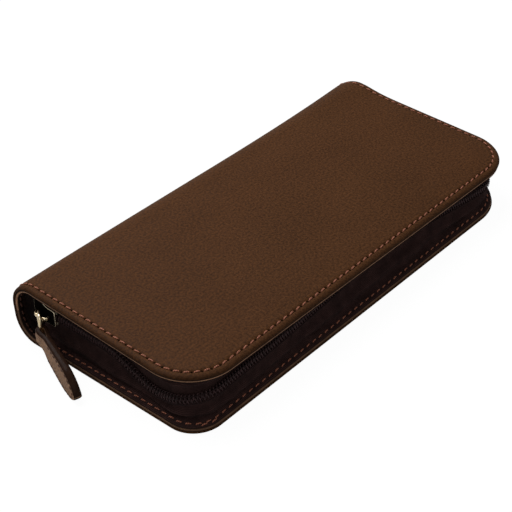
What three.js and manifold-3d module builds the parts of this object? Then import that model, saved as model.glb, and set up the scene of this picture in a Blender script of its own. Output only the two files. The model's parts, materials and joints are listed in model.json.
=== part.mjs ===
// A stiff zip-around leather pouch, closed and lying on its back panel.
// Millimetres. Origin: centre of the back panel's outer face. +X runs along the long zip side,
// away from the slider; +Y runs from the opening edge to the spine; +Z is up.
import * as THREE from 'three';
import { mergeVertices } from 'three/addons/utils/BufferGeometryUtils.js';
import Module from 'manifold-3d';

const wasm = await Module();
wasm.setup();

// ---------------------------------------------------------------- driving dimensions
const LENGTH = 190;
const OPEN_EDGE_Y = -45;
const BACK_CORNER_R = 14.5;
const FRONT_CORNER_R = 19.5;

const LEATHER_T = 1.2;
const BOARD_T = 0.6;
const BOARD_INSET = 7;
const LINING_INSET = 0.2;
const LINING_T = 0.9;
const GLUE_GAP = 0.15;
const PANEL_T = LEATHER_T + BOARD_T + LINING_T + 2 * GLUE_GAP;

const BACK_BEND = { y: 38, z: 10, r: 10 };      // centre and outer radius of the lower spine bend
const FRONT_BEND = { y: 36, z: 14.2, r: 12 };   // the same for the upper spine bend
const FRONT_TILT = THREE.MathUtils.degToRad(2.75);
const BEND_SPLIT_GAP = 0.35;                    // clearance where panel leather meets spine leather

const STITCH_INSET = 3.3;
const THREAD_W = 0.7;
const THREAD_T = 0.4;
const GROOVE_W = 1.2;
const GROOVE_DEPTH = 0.6;

const TAPE_T = 0.7;
const TAPE_FLANGE_INSET = [1.8, 9];
const COIL_W = 2.4;                             // across the wall
const COIL_GAP = 0.5;                           // from the chain's centre line to each coil
const COIL_H = 1.7;
const WALL_INSET = 4.1;                         // wall's centre line from the short edges
const WALL_BOW = 3;                             // how far the long wall bows inwards at its middle
const WALL_CORNER_R = 11;
const WALL_END_Y = 35.5;

const SLIDER_Y = 31;                            // slider's centre when the zip is closed
const SLIDER_SLOPE = 0.06;                      // rise of the chain per mm towards the spine
const SLIDER_LENGTH = 11;
const CHAIN_Z_AT_SLIDER = 16.5;

const LINK_ANGLE = THREE.MathUtils.degToRad(40); // outwards from the opening direction
const LINK_REACH = 4.6;                          // between the centres of the link's two upright bars
const LINK_FROM_CENTRE = 1.6;                    // towards the spine from the slider's centre
const LINK_WIRE = 1.2;
const LINK_TOP_Z = 18.3;
const LINK_BOTTOM_Z = 7.9;

const TAB_Z = 10.9;
const TAB_REACH = 32.4;
const TAB_T = 2.7;
const TAB_NECK = 2.1;                            // half widths
const TAB_BELLY = 4.7;
const TAB_BELLY_AT = 21;
const TAB_LOOP_R = 2.15;                         // outer half height of the fold round the link's bar
const TAB_LOOP_END = 9;                          // where the two layers of the tab come together
const TAB_SEAM_INSET = [1.1, 1.8];
const TAB_SEAM_DEPTH = 0.35;

// ---------------------------------------------------------------- materials
function material(colour, roughness, metalness = 0) {
  return new THREE.MeshStandardMaterial({ color: colour, roughness, metalness });
}

const outerLeather = material(0x4a2f24, 0.55);
const liningLeather = material(0x3a241c, 0.7);
const board = material(0x8a7a66, 0.9);
const thread = material(0x8c5540, 0.8);
const tapeFabric = material(0x1e1310, 0.9);
const coilPlastic = material(0x241713, 0.5);
const metal = material(0xd8c8a0, 0.25, 1);
const elastic = material(0x1a1514, 0.95);

// ---------------------------------------------------------------- solids and booleans
function solidOf(geometry) {
  const bare = geometry.clone();
  bare.deleteAttribute('normal');
  bare.deleteAttribute('uv');
  const merged = mergeVertices(bare, 1e-4);
  const mesh = new wasm.Mesh({
    numProp: 3,
    vertProperties: new Float32Array(merged.attributes.position.array),
    triVerts: new Uint32Array(merged.index.array),
  });
  return new wasm.Manifold(mesh);
}

function geometryOf(solid) {
  const mesh = solid.getMesh();
  const geometry = new THREE.BufferGeometry();
  geometry.setAttribute('position', new THREE.BufferAttribute(new Float32Array(mesh.vertProperties), 3));
  geometry.setIndex(new THREE.BufferAttribute(new Uint32Array(mesh.triVerts), 1));
  geometry.computeVertexNormals();
  return geometry;
}

function union(...geometries) {
  return geometryOf(geometries.map(solidOf).reduce((sum, next) => sum.add(next)));
}

function cut(geometry, ...tools) {
  return geometryOf(tools.map(solidOf).reduce((rest, tool) => rest.subtract(tool), solidOf(geometry)));
}

function common(first, second) {
  return geometryOf(solidOf(first).intersect(solidOf(second)));
}

function plate(shape, z0, z1, curveSegments = 8) {
  const geometry = new THREE.ExtrudeGeometry(shape, { depth: z1 - z0, bevelEnabled: false, curveSegments });
  return geometry.translate(0, 0, z0);
}

// A profile drawn in the Y-Z plane, extruded along X from x0 to x1.
function sweepX(shape, x0, x1, curveSegments = 8) {
  const geometry = new THREE.ExtrudeGeometry(shape, { depth: x1 - x0, bevelEnabled: false, curveSegments });
  const turn = new THREE.Matrix4().makeBasis(
    new THREE.Vector3(0, 1, 0),
    new THREE.Vector3(0, 0, 1),
    new THREE.Vector3(1, 0, 0),
  );
  return geometry.applyMatrix4(turn).translate(x0, 0, 0);
}

// ---------------------------------------------------------------- the front panel's tilted frame
// Its local origin is the line where the flat panel meets the upper bend; local +Z is its outer normal.
const frontOrigin = new THREE.Vector3(
  0,
  FRONT_BEND.y - FRONT_BEND.r * Math.sin(FRONT_TILT),
  FRONT_BEND.z + FRONT_BEND.r * Math.cos(FRONT_TILT),
);
const frontOpenEdge = (OPEN_EDGE_Y - frontOrigin.y) / Math.cos(FRONT_TILT);

function frontInnerZ(y) {
  return frontOrigin.z + (y - frontOrigin.y) * Math.tan(FRONT_TILT) - PANEL_T / Math.cos(FRONT_TILT);
}

// ---------------------------------------------------------------- panel outlines
// A panel seen from above: square at the spine side, two rounded corners at the opening side.
function panelShape(openEdge, bendEdge, cornerR, inset) {
  const x = LENGTH / 2 - inset;
  const y = openEdge + inset;
  const r = Math.max(cornerR - inset, 1);
  const shape = new THREE.Shape();
  shape.moveTo(-x, bendEdge);
  shape.lineTo(-x, y + r);
  shape.absarc(-x + r, y + r, r, Math.PI, 1.5 * Math.PI);
  shape.lineTo(x - r, y);
  shape.absarc(x - r, y + r, r, 1.5 * Math.PI, 2 * Math.PI);
  shape.lineTo(x, bendEdge);
  return shape;
}

// The strip between two insets of that outline, open at the spine side.
function marginShape(openEdge, bendEdge, cornerR, outerInset, innerInset) {
  const outer = panelShape(openEdge, bendEdge, cornerR, outerInset).getPoints(8);
  const inner = panelShape(openEdge, bendEdge, cornerR, innerInset).getPoints(8);
  return new THREE.Shape([...outer, ...inner.reverse()]);
}

function stitchLine(openEdge, bendEdge, cornerR, width) {
  return marginShape(openEdge, bendEdge, cornerR, STITCH_INSET - width / 2, STITCH_INSET + width / 2);
}

// A bent sheet round a bend centre, between two angles from +Y.
function bendShape(bend, depth, thickness, from, to) {
  const outerR = bend.r - depth;
  const shape = new THREE.Shape();
  shape.absarc(bend.y, bend.z, outerR, from, to);
  shape.absarc(bend.y, bend.z, outerR - thickness, to, from, true);
  return shape;
}

// ---------------------------------------------------------------- zip wall path
// One curve for the tapes, the coils and the slider: up the near short side, round both corners.
const wallX = LENGTH / 2 - WALL_INSET;
const wallY = OPEN_EDGE_Y + WALL_INSET;

function wallPath() {
  const r = WALL_CORNER_R;
  const path = new THREE.Path();
  path.moveTo(-wallX, WALL_END_Y);
  path.lineTo(-wallX, wallY + r);
  path.absarc(-wallX + r, wallY + r, r, Math.PI, 1.5 * Math.PI);
  const bowed = wallY + WALL_BOW * 4 / 3;
  path.bezierCurveTo(-wallX / 2, bowed, wallX / 2, bowed, wallX - r, wallY);
  path.absarc(wallX - r, wallY + r, r, 1.5 * Math.PI, 2 * Math.PI);
  path.lineTo(wallX, WALL_END_Y);
  return path;
}

// Height of the chain's centre line. The near side slopes gently, then sags before the corner.
function smooth(t) {
  const s = THREE.MathUtils.clamp(t, 0, 1);
  return s * s * (3 - 2 * s);
}

const SAG_START_Y = -10;
const SAG_END_Y = -27;
const CORNER_Z = 8.6;
const LONG_MID_Z = 12.4;
const FAR_END_Z = 13.2;

function chainZ(x, y) {
  const sloped = CHAIN_Z_AT_SLIDER + (y - SLIDER_Y) * SLIDER_SLOPE;
  if (x < -wallX + WALL_CORNER_R) {
    return THREE.MathUtils.lerp(sloped, CORNER_Z, smooth((y - SAG_START_Y) / (SAG_END_Y - SAG_START_Y)));
  }
  if (x < wallX - WALL_CORNER_R) {
    return CORNER_Z + (LONG_MID_Z - CORNER_Z) * (1 - (x / (wallX - WALL_CORNER_R)) ** 4);
  }
  return THREE.MathUtils.lerp(CORNER_Z, FAR_END_Z, smooth((y - SAG_END_Y) / (WALL_END_Y - SAG_END_Y)));
}

// The part of the wall path between two end positions, measured along Y on the two short sides.
function wallPoints(nearEndY, farEndY) {
  const all = wallPath().getSpacedPoints(84);
  const kept = all.filter((p) => (p.x < 0 ? p.y < nearEndY - 1 : p.y < farEndY - 1));
  return [new THREE.Vector2(-wallX, nearEndY), ...kept, new THREE.Vector2(wallX, farEndY)];
}

// A ribbon along the wall: a box whose length follows the path, with its thickness across the path
// and its bottom and top given as heights over the path's own points.
function ribbon(points, width, bottom, top) {
  const last = points.length - 1;
  const geometry = new THREE.BoxGeometry(1, 1, 1, last, 1, 1);
  const position = geometry.attributes.position;
  for (let i = 0; i < position.count; i += 1) {
    const step = Math.round((position.getX(i) + 0.5) * last);
    const point = points[step];
    const before = points[Math.max(step - 1, 0)];
    const after = points[Math.min(step + 1, last)];
    const along = after.clone().sub(before).normalize();
    const side = position.getY(i) * width;
    const share = position.getZ(i) + 0.5;
    const height = THREE.MathUtils.lerp(bottom(point.x, point.y), top(point.x, point.y), share);
    position.setXYZ(i, point.x - along.y * side, point.y + along.x * side, height);
  }
  return geometry;
}

// ---------------------------------------------------------------- assembly helpers
const pouch = new THREE.Group();
const frontPanel = new THREE.Group();
frontPanel.position.copy(frontOrigin);
frontPanel.rotation.x = FRONT_TILT;
pouch.add(frontPanel);

function add(parent, name, geometry, finish) {
  const mesh = new THREE.Mesh(geometry, finish);
  mesh.name = name;
  parent.add(mesh);
}

// ---------------------------------------------------------------- back and front panels
const HALF = LENGTH / 2;
const SPLIT = Math.PI / 4;

function backPanel() {
  const edge = [OPEN_EDGE_Y, BACK_BEND.y, BACK_CORNER_R];
  const splitAngle = -SPLIT - BEND_SPLIT_GAP / BACK_BEND.r;
  const flat = plate(panelShape(...edge, 0), 0, LEATHER_T);
  const bent = sweepX(bendShape(BACK_BEND, 0, LEATHER_T, -Math.PI / 2 - 0.01, splitAngle), -HALF, HALF);
  const groove = plate(stitchLine(...edge, GROOVE_W), -0.5, GROOVE_DEPTH);
  add(pouch, 'back_leather', cut(union(flat, bent), groove), outerLeather);
  const gap = (GROOVE_DEPTH - THREAD_T) / 2;
  add(pouch, 'back_stitching', plate(stitchLine(...edge, THREAD_W), gap, gap + THREAD_T), thread);
  const boardZ = LEATHER_T + GLUE_GAP;
  const boardShape = panelShape(OPEN_EDGE_Y, BACK_BEND.y - 1, BACK_CORNER_R, BOARD_INSET);
  add(pouch, 'back_board', plate(boardShape, boardZ, boardZ + BOARD_T), board);
  const lining = plate(panelShape(...edge, LINING_INSET), PANEL_T - LINING_T, PANEL_T);
  add(pouch, 'back_lining', lining, liningLeather);
}

function frontPanelPieces() {
  const edge = [frontOpenEdge, 0, FRONT_CORNER_R];
  const bend = { y: 0, z: -FRONT_BEND.r, r: FRONT_BEND.r };
  const sweep = Math.PI / 2 + FRONT_TILT;
  const splitAngle = Math.PI / 2 - sweep / 2 + BEND_SPLIT_GAP / FRONT_BEND.r;
  const flat = plate(panelShape(...edge, 0), -LEATHER_T, 0);
  const bent = sweepX(bendShape(bend, 0, LEATHER_T, splitAngle, Math.PI / 2 + 0.01), -HALF, HALF);
  const groove = plate(stitchLine(...edge, GROOVE_W), -GROOVE_DEPTH, 0.5);
  add(frontPanel, 'front_leather', cut(union(flat, bent), groove), outerLeather);
  const gap = (GROOVE_DEPTH - THREAD_T) / 2;
  add(frontPanel, 'front_stitching', plate(stitchLine(...edge, THREAD_W), -gap - THREAD_T, -gap), thread);
  const boardZ = -LEATHER_T - GLUE_GAP;
  const boardShape = panelShape(frontOpenEdge, -1, FRONT_CORNER_R, BOARD_INSET);
  add(frontPanel, 'front_board', plate(boardShape, boardZ - BOARD_T, boardZ), board);
  const lining = plate(panelShape(...edge, LINING_INSET), -PANEL_T, LINING_T - PANEL_T);
  add(frontPanel, 'front_lining', lining, liningLeather);
}

// ---------------------------------------------------------------- spine
// The wall between the bends, with half of each bend; the stitching crosses it near both ends.
function spineShape(depth, thickness) {
  const low = -SPLIT + BEND_SPLIT_GAP / BACK_BEND.r;
  const high = (Math.PI / 2 + FRONT_TILT) / 2 - BEND_SPLIT_GAP / FRONT_BEND.r;
  const shape = new THREE.Shape();
  shape.absarc(BACK_BEND.y, BACK_BEND.z, BACK_BEND.r - depth, low, 0);
  shape.absarc(FRONT_BEND.y, FRONT_BEND.z, FRONT_BEND.r - depth, 0, high);
  shape.absarc(FRONT_BEND.y, FRONT_BEND.z, FRONT_BEND.r - depth - thickness, high, 0, true);
  shape.absarc(BACK_BEND.y, BACK_BEND.z, BACK_BEND.r - depth - thickness, 0, low, true);
  return shape;
}

function spine() {
  const stitchX = HALF - STITCH_INSET;
  const gap = (GROOVE_DEPTH - THREAD_T) / 2;
  const groove = (x) => sweepX(spineShape(-0.5, GROOVE_DEPTH + 0.5), x - GROOVE_W / 2, x + GROOVE_W / 2);
  const threadAt = (x) => sweepX(spineShape(gap, THREAD_T), x - THREAD_W / 2, x + THREAD_W / 2);
  const sheet = sweepX(spineShape(0, LEATHER_T), -HALF, HALF);
  add(pouch, 'spine_leather', cut(sheet, groove(-stitchX), groove(stitchX)), outerLeather);
  add(pouch, 'spine_stitching_near', threadAt(-stitchX), thread);
  add(pouch, 'spine_stitching_far', threadAt(stitchX), thread);
  const liningHalf = HALF - LINING_INSET;
  const lining = sweepX(spineShape(LEATHER_T + 2 * GLUE_GAP, LINING_T), -liningHalf, liningHalf);
  add(pouch, 'spine_lining', lining, liningLeather);
}

// Fabric that closes the spine's two ends, behind the ends of the zip.
function endGusset(name, x) {
  const inner = FRONT_BEND.y + FRONT_BEND.r - LEATHER_T - LINING_T - 0.6;
  const bottom = BACK_BEND.z - 2;
  const top = FRONT_BEND.z + 5;
  const shape = new THREE.Shape();
  shape.moveTo(BACK_BEND.y - 0.5, bottom);
  shape.lineTo(BACK_BEND.y + 3.5, bottom - 1.8);
  shape.absarc(BACK_BEND.y, BACK_BEND.z, inner - BACK_BEND.y, -0.45, 0);
  shape.lineTo(inner, top - 3.2);
  shape.quadraticCurveTo(inner - 0.6, top - 0.8, inner - 2.3, top);
  shape.lineTo(FRONT_BEND.y + 2.5, top);
  add(pouch, name, sweepX(shape, x - TAPE_T / 2, x + TAPE_T / 2), tapeFabric);
}

// ---------------------------------------------------------------- zip
function tapes() {
  const points = wallPoints(WALL_END_Y, WALL_END_Y);
  const coilReach = COIL_GAP + COIL_H + 0.1;
  const onBack = PANEL_T + 0.05;
  const lowerFlange = plate(
    marginShape(OPEN_EDGE_Y, WALL_END_Y, BACK_CORNER_R, ...TAPE_FLANGE_INSET), onBack, onBack + TAPE_T);
  const lowerWall = ribbon(points, TAPE_T, () => onBack + 0.1, (x, y) => chainZ(x, y) - coilReach);
  add(pouch, 'lower_zip_tape', union(lowerFlange, lowerWall), tapeFabric);

  const underFront = (x, y) => frontInnerZ(y) - 0.1;
  const flangeOutline = marginShape(OPEN_EDGE_Y, WALL_END_Y, FRONT_CORNER_R, ...TAPE_FLANGE_INSET);
  const upperFlange = plate(flangeOutline, 0, 1);
  const position = upperFlange.attributes.position;
  for (let i = 0; i < position.count; i += 1) {
    const y = position.getY(i);
    position.setZ(i, underFront(0, y) - TAPE_T * (1 - position.getZ(i)));
  }
  const aboveChain = (x, y) => chainZ(x, y) + coilReach;
  const upperWall = ribbon(points, TAPE_T, aboveChain, (x, y) => underFront(x, y) - 0.1);
  add(pouch, 'upper_zip_tape', union(upperFlange, upperWall), tapeFabric);
}

function coils() {
  const sliderTailY = SLIDER_Y - SLIDER_LENGTH / 2;
  const far = WALL_END_Y - 4;
  const lower = (reach) => (x, y) => chainZ(x, y) - reach;
  const upper = (reach) => (x, y) => chainZ(x, y) + reach;
  const near = COIL_GAP;
  const full = COIL_GAP + COIL_H;
  const lowerCoil = ribbon(wallPoints(WALL_END_Y, far), COIL_W, lower(full), lower(near));
  add(pouch, 'lower_coil', lowerCoil, coilPlastic);
  const upperCoil = ribbon(wallPoints(sliderTailY - 0.4, far), COIL_W, upper(near), upper(full));
  add(pouch, 'upper_coil', upperCoil, coilPlastic);
}

const STOP_H = 1.8;

function stops() {
  const box = (x, y, z, sx, sy, sz) => new THREE.BoxGeometry(sx, sy, sz).translate(x, y, z);
  const topStopY = WALL_END_Y + 1.4;
  const fromCentre = COIL_GAP + STOP_H / 2;
  const z = chainZ(-wallX, topStopY);
  add(pouch, 'lower_top_stop', box(-wallX, topStopY, z - fromCentre, COIL_W, 2.2, STOP_H), metal);
  add(pouch, 'upper_top_stop', box(-wallX, topStopY, z + fromCentre, COIL_W, 2.2, STOP_H), metal);
  const farY = WALL_END_Y - 2;
  const tall = 2 * (COIL_GAP + COIL_H);
  add(pouch, 'bottom_stop', box(wallX, farY, chainZ(wallX, farY), COIL_W + 0.6, 2.8, tall), metal);
}

// ---------------------------------------------------------------- slider
// Local frame: +X is the opening direction along the chain, +Y up the wall, +Z out of the pouch.
const slider = new THREE.Group();
const slopeAngle = Math.atan(SLIDER_SLOPE);
const travel = new THREE.Vector3(0, -Math.cos(slopeAngle), -Math.sin(slopeAngle));
const up = new THREE.Vector3(0, -Math.sin(slopeAngle), Math.cos(slopeAngle));
slider.applyMatrix4(new THREE.Matrix4().makeBasis(travel, up, travel.clone().cross(up)));
slider.position.set(-wallX, SLIDER_Y, CHAIN_Z_AT_SLIDER);
pouch.add(slider);

const WING_OUTER = 2.4;
const WING_INNER = 1.6;
const SLOT_HALF = 0.75;
const MOUTH_HALF = 4.8;                         // half heights of the wide and the narrow end
const TAIL_HALF = 3.4;
const LIP_T = 0.85;
const MOUTH_END_X = -2;                         // the sides narrow between these two places
const TAIL_START_X = 1.8;

const BAIL_HALF = 3.4;
const BAIL_TOP = 5.2;
const BAIL_WIRE = 0.9;
const BAIL_W = 1.5;
const BAIL_R = 1.6;

function wedge(mouthHalf, tailHalf, reach, cornerR) {
  const shape = new THREE.Shape();
  shape.moveTo(-reach, mouthHalf - cornerR);
  shape.quadraticCurveTo(-reach, mouthHalf, -reach + cornerR, mouthHalf);
  shape.lineTo(MOUTH_END_X, mouthHalf);
  shape.lineTo(TAIL_START_X, tailHalf);
  shape.lineTo(reach - cornerR, tailHalf);
  shape.quadraticCurveTo(reach, tailHalf, reach, tailHalf - cornerR);
  shape.lineTo(reach, -tailHalf + cornerR);
  shape.quadraticCurveTo(reach, -tailHalf, reach - cornerR, -tailHalf);
  shape.lineTo(TAIL_START_X, -tailHalf);
  shape.lineTo(MOUTH_END_X, -mouthHalf);
  shape.lineTo(-reach + cornerR, -mouthHalf);
  shape.quadraticCurveTo(-reach, -mouthHalf, -reach, -mouthHalf + cornerR);
  return shape;
}

// The bail's arch: up from the wing at one end, over, and down at the other.
function bailShape() {
  const foot = WING_OUTER + 0.05;
  const innerHalf = BAIL_HALF - BAIL_WIRE;
  const innerTop = BAIL_TOP - BAIL_WIRE;
  const innerR = BAIL_R - BAIL_WIRE + 0.1;
  const shape = new THREE.Shape();
  shape.moveTo(-BAIL_HALF, foot);
  shape.lineTo(-innerHalf, foot);
  shape.lineTo(-innerHalf, innerTop - innerR);
  shape.quadraticCurveTo(-innerHalf, innerTop, -innerHalf + innerR, innerTop);
  shape.lineTo(innerHalf - innerR, innerTop);
  shape.quadraticCurveTo(innerHalf, innerTop, innerHalf, innerTop - innerR);
  shape.lineTo(innerHalf, foot);
  shape.lineTo(BAIL_HALF, foot);
  shape.lineTo(BAIL_HALF, BAIL_TOP - BAIL_R);
  shape.quadraticCurveTo(BAIL_HALF, BAIL_TOP, BAIL_HALF - BAIL_R, BAIL_TOP);
  shape.lineTo(BAIL_R - BAIL_HALF, BAIL_TOP);
  shape.quadraticCurveTo(-BAIL_HALF, BAIL_TOP, -BAIL_HALF, BAIL_TOP - BAIL_R);
  return shape;
}

function sliderPieces() {
  const body = wedge(MOUTH_HALF, TAIL_HALF, SLIDER_LENGTH / 2, 1);
  const channel = wedge(MOUTH_HALF - LIP_T, TAIL_HALF - LIP_T, SLIDER_LENGTH, 0.5);
  const wing = cut(plate(body, SLOT_HALF, WING_OUTER, 4), plate(channel, 0, WING_INNER, 2));
  const otherWing = wing.clone().rotateX(Math.PI);
  const post = new THREE.BoxGeometry(2.2, 0.7, 2 * WING_INNER + 0.6).translate(-3.9, 0, 0);
  add(slider, 'slider_body', union(wing, otherWing, post), metal);

  const arch = plate(bailShape(), -BAIL_W / 2, BAIL_W / 2, 6).rotateX(Math.PI / 2);
  add(slider, 'slider_bail', arch, metal);
}

// ---------------------------------------------------------------- link and pull tab
// The link is an upright wire loop: one bar runs through the bail, the other through the tab's fold.
const linkPivot = new THREE.Vector3(
  -wallX - (WING_OUTER + BAIL_TOP - BAIL_WIRE) / 2,
  SLIDER_Y + LINK_FROM_CENTRE,
  0,
);
const linkAlong = new THREE.Vector3(-Math.sin(LINK_ANGLE), -Math.cos(LINK_ANGLE), 0);
const tabPivot = linkPivot.clone().addScaledVector(linkAlong, LINK_REACH).setZ(TAB_Z);

function frameGroup(origin, along, across) {
  const group = new THREE.Group();
  group.applyMatrix4(new THREE.Matrix4().makeBasis(along, across, along.clone().cross(across)));
  group.position.copy(origin);
  pouch.add(group);
  return group;
}

function roundedRect(x0, x1, y0, y1, r) {
  const shape = new THREE.Shape();
  shape.absarc(x1 - r, y1 - r, r, 0, Math.PI / 2);
  shape.absarc(x0 + r, y1 - r, r, Math.PI / 2, Math.PI);
  shape.absarc(x0 + r, y0 + r, r, Math.PI, 1.5 * Math.PI);
  shape.absarc(x1 - r, y0 + r, r, 1.5 * Math.PI, 2 * Math.PI);
  return shape;
}

function pullLink() {
  const group = frameGroup(linkPivot, linkAlong, new THREE.Vector3(0, 0, 1));
  const h = LINK_WIRE / 2;
  const shape = roundedRect(-h, LINK_REACH + h, LINK_BOTTOM_Z - h, LINK_TOP_Z + h, 1.2);
  shape.holes.push(roundedRect(h, LINK_REACH - h, LINK_BOTTOM_Z + h, LINK_TOP_Z - h, 0.5));
  add(group, 'pull_link', plate(shape, -h, h, 4), metal);
}

// Tab frame: +X from the link to the tip, +Y across the tab, +Z out of its outer face.
const tabAlong = new THREE.Vector3(-0.298, -0.926, -0.232).normalize();
const tabAcross = new THREE.Vector3(0, 0, 1).addScaledVector(tabAlong, -tabAlong.z).normalize();

function tabOutline(inset) {
  const neck = TAB_NECK - inset;
  const belly = TAB_BELLY - inset;
  const tip = TAB_REACH - inset;
  const full = 0.8 * belly;
  const shape = new THREE.Shape();
  shape.moveTo(-2 * TAB_LOOP_R, neck);
  shape.lineTo(1, neck);
  shape.bezierCurveTo(TAB_LOOP_END - 1, neck + 0.6, TAB_BELLY_AT - 8, belly, TAB_BELLY_AT, belly);
  shape.bezierCurveTo(TAB_BELLY_AT + 6, belly, tip, full, tip, 0);
  shape.bezierCurveTo(tip, -full, TAB_BELLY_AT + 6, -belly, TAB_BELLY_AT, -belly);
  shape.bezierCurveTo(TAB_BELLY_AT - 8, -belly, TAB_LOOP_END - 1, -neck - 0.6, 1, -neck);
  shape.lineTo(-2 * TAB_LOOP_R, -neck);
  return shape;
}

// The tab seen from its side: two flat layers that part into a loop round the link's bar.
function tabProfile() {
  const half = TAB_T / 2;
  const bulge = TAB_LOOP_R + LINK_WIRE + 0.25;
  const shape = new THREE.Shape();
  shape.moveTo(TAB_REACH + 1, -half);
  shape.lineTo(TAB_REACH + 1, half);
  shape.lineTo(TAB_LOOP_END, half);
  shape.bezierCurveTo(TAB_LOOP_END - 3, half, 4, TAB_LOOP_R, 1, TAB_LOOP_R);
  shape.bezierCurveTo(-bulge, TAB_LOOP_R, -bulge, -TAB_LOOP_R, 1, -TAB_LOOP_R);
  shape.bezierCurveTo(4, -TAB_LOOP_R, TAB_LOOP_END - 3, -half, TAB_LOOP_END, -half);
  const r = LINK_WIRE + 0.3;
  const hole = new THREE.Path();
  hole.moveTo(r, 0);
  hole.bezierCurveTo(r, 1.25, -r, 1.25, -r, 0);
  hole.bezierCurveTo(-r, -1.25, r, -1.25, r, 0);
  shape.holes.push(hole);
  return shape;
}

// The band between two insets of the tab's outline, on the flat part beyond the loop.
function tabSeam(outerInset, innerInset, from, z0, z1) {
  const outer = plate(tabOutline(outerInset), z0, z1, 8);
  const inner = plate(tabOutline(innerInset), z0 - 1, z1 + 1, 8);
  const flat = new THREE.BoxGeometry(TAB_REACH, 4 * TAB_BELLY, 4 * TAB_T);
  flat.translate(from + TAB_REACH / 2, 0, 0);
  return common(cut(outer, inner), flat);
}

function pullTab() {
  const group = frameGroup(tabPivot, tabAlong, tabAcross);
  const half = TAB_T / 2;
  const width = 3 * TAB_BELLY;
  const profile = plate(tabProfile(), -width / 2, width / 2, 6).rotateX(Math.PI / 2);
  const body = common(profile, plate(tabOutline(0), -5, 5, 8));
  const [outer, inner] = TAB_SEAM_INSET;
  const floor = half - TAB_SEAM_DEPTH;
  const seamStart = TAB_LOOP_END + 1;
  const groove = tabSeam(outer - 0.25, inner + 0.25, seamStart, floor, half + 0.5);
  add(group, 'pull_tab', cut(body, groove), outerLeather);
  const seam = tabSeam(outer, inner, seamStart + 0.3, floor + 0.1, half);
  add(group, 'pull_tab_stitching', seam, thread);
}

// ---------------------------------------------------------------- interior
const LOOP_COUNT = 6;
const LOOP_R = 5.2;
const LOOP_PITCH = 22;
const LOOP_RISE = 1;                            // from the band's foot to the centre of each loop
const LOOP_BAND_W = 16;

function penLoops() {
  const z = PANEL_T + 0.15;
  const half = LOOP_COUNT * LOOP_PITCH / 2;
  const strip = new THREE.BoxGeometry(2 * half + 8, LOOP_BAND_W + 4, 0.8).translate(0, 0, z + 0.4);
  add(pouch, 'pen_loop_base', strip, liningLeather);

  const bandZ = z + 0.95;
  const wave = (r, base) => {
    const path = new THREE.Path();
    path.moveTo(-half, base);
    for (let i = 0; i < LOOP_COUNT; i += 1) {
      const centre = -half + (i + 0.5) * LOOP_PITCH;
      path.lineTo(centre - r, base);
      path.absarc(centre, bandZ + LOOP_RISE, r, Math.PI, 0, true);
      path.lineTo(centre + r, base);
    }
    path.lineTo(half, base);
    return path.getPoints(8);
  };
  const thickness = 1;
  const outline = [...wave(LOOP_R + thickness, bandZ + thickness), ...wave(LOOP_R, bandZ).reverse()];
  const band = plate(new THREE.Shape(outline), 0, LOOP_BAND_W, 8);
  add(pouch, 'pen_loop_band', band.rotateX(Math.PI / 2).translate(0, LOOP_BAND_W / 2, 0), elastic);
}

const POCKET_INSET = 14;
const POCKET_MOUTH = -6;                        // from the upper bend
const POCKET_CORNER_R = 4;

function slipPocket() {
  const top = -PANEL_T - 0.3;
  const low = top - LINING_T;
  const edge = [frontOpenEdge, POCKET_MOUTH, POCKET_CORNER_R + POCKET_INSET];
  add(frontPanel, 'slip_pocket', plate(panelShape(...edge, POCKET_INSET), low, top), liningLeather);
  const seam = marginShape(...edge, POCKET_INSET + 2, POCKET_INSET + 2.6);
  add(frontPanel, 'slip_pocket_stitching', plate(seam, low - 0.6, low - 0.2), thread);
}

backPanel();
frontPanelPieces();
spine();
endGusset('near_end_gusset', -wallX);
endGusset('far_end_gusset', wallX);
tapes();
coils();
stops();
sliderPieces();
pullLink();
pullTab();
penLoops();
slipPocket();

export default pouch;
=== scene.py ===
"""The finished look of a zip-around leather pouch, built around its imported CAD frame.

Shapes are worked out in millimetres and stored in metres. Each cover is drawn flat as a sheet, with x
along the pouch and s from the opening edge, then wrapped round its spine bend, so that leather, lining
and stitches share one outline. The near end is the slider's end, at -x.
"""
import functools
import json
import math

import bmesh
import bpy
import numpy as np
from mathutils import Matrix, Vector, noise


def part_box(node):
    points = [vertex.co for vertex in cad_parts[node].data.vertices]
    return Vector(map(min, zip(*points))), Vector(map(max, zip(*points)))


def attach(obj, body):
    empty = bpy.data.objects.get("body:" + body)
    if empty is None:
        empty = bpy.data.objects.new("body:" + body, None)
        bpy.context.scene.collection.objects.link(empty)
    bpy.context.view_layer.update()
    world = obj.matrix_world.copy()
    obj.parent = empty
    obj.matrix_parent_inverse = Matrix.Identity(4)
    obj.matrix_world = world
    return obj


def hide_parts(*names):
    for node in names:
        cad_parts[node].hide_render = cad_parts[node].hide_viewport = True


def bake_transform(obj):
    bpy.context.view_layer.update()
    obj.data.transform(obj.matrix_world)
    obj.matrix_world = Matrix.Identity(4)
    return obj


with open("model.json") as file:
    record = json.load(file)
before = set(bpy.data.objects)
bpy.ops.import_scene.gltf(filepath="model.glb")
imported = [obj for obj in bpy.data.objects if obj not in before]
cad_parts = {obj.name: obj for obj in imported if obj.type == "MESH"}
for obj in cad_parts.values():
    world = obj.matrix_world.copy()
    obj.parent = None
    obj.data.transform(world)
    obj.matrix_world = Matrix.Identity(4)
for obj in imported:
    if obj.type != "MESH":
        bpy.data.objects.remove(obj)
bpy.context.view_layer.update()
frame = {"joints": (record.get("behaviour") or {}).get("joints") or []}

MM = 0.001
JOINTS = {joint["name"]: joint for joint in frame["joints"]}


def box_mm(node):
    """Lowest and highest corner of a CAD node in millimetres."""
    low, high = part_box(node)
    return np.array(low) / MM, np.array(high) / MM


def pivot_mm(joint):
    return np.array(JOINTS[joint]["pos_m"]) / MM


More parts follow.
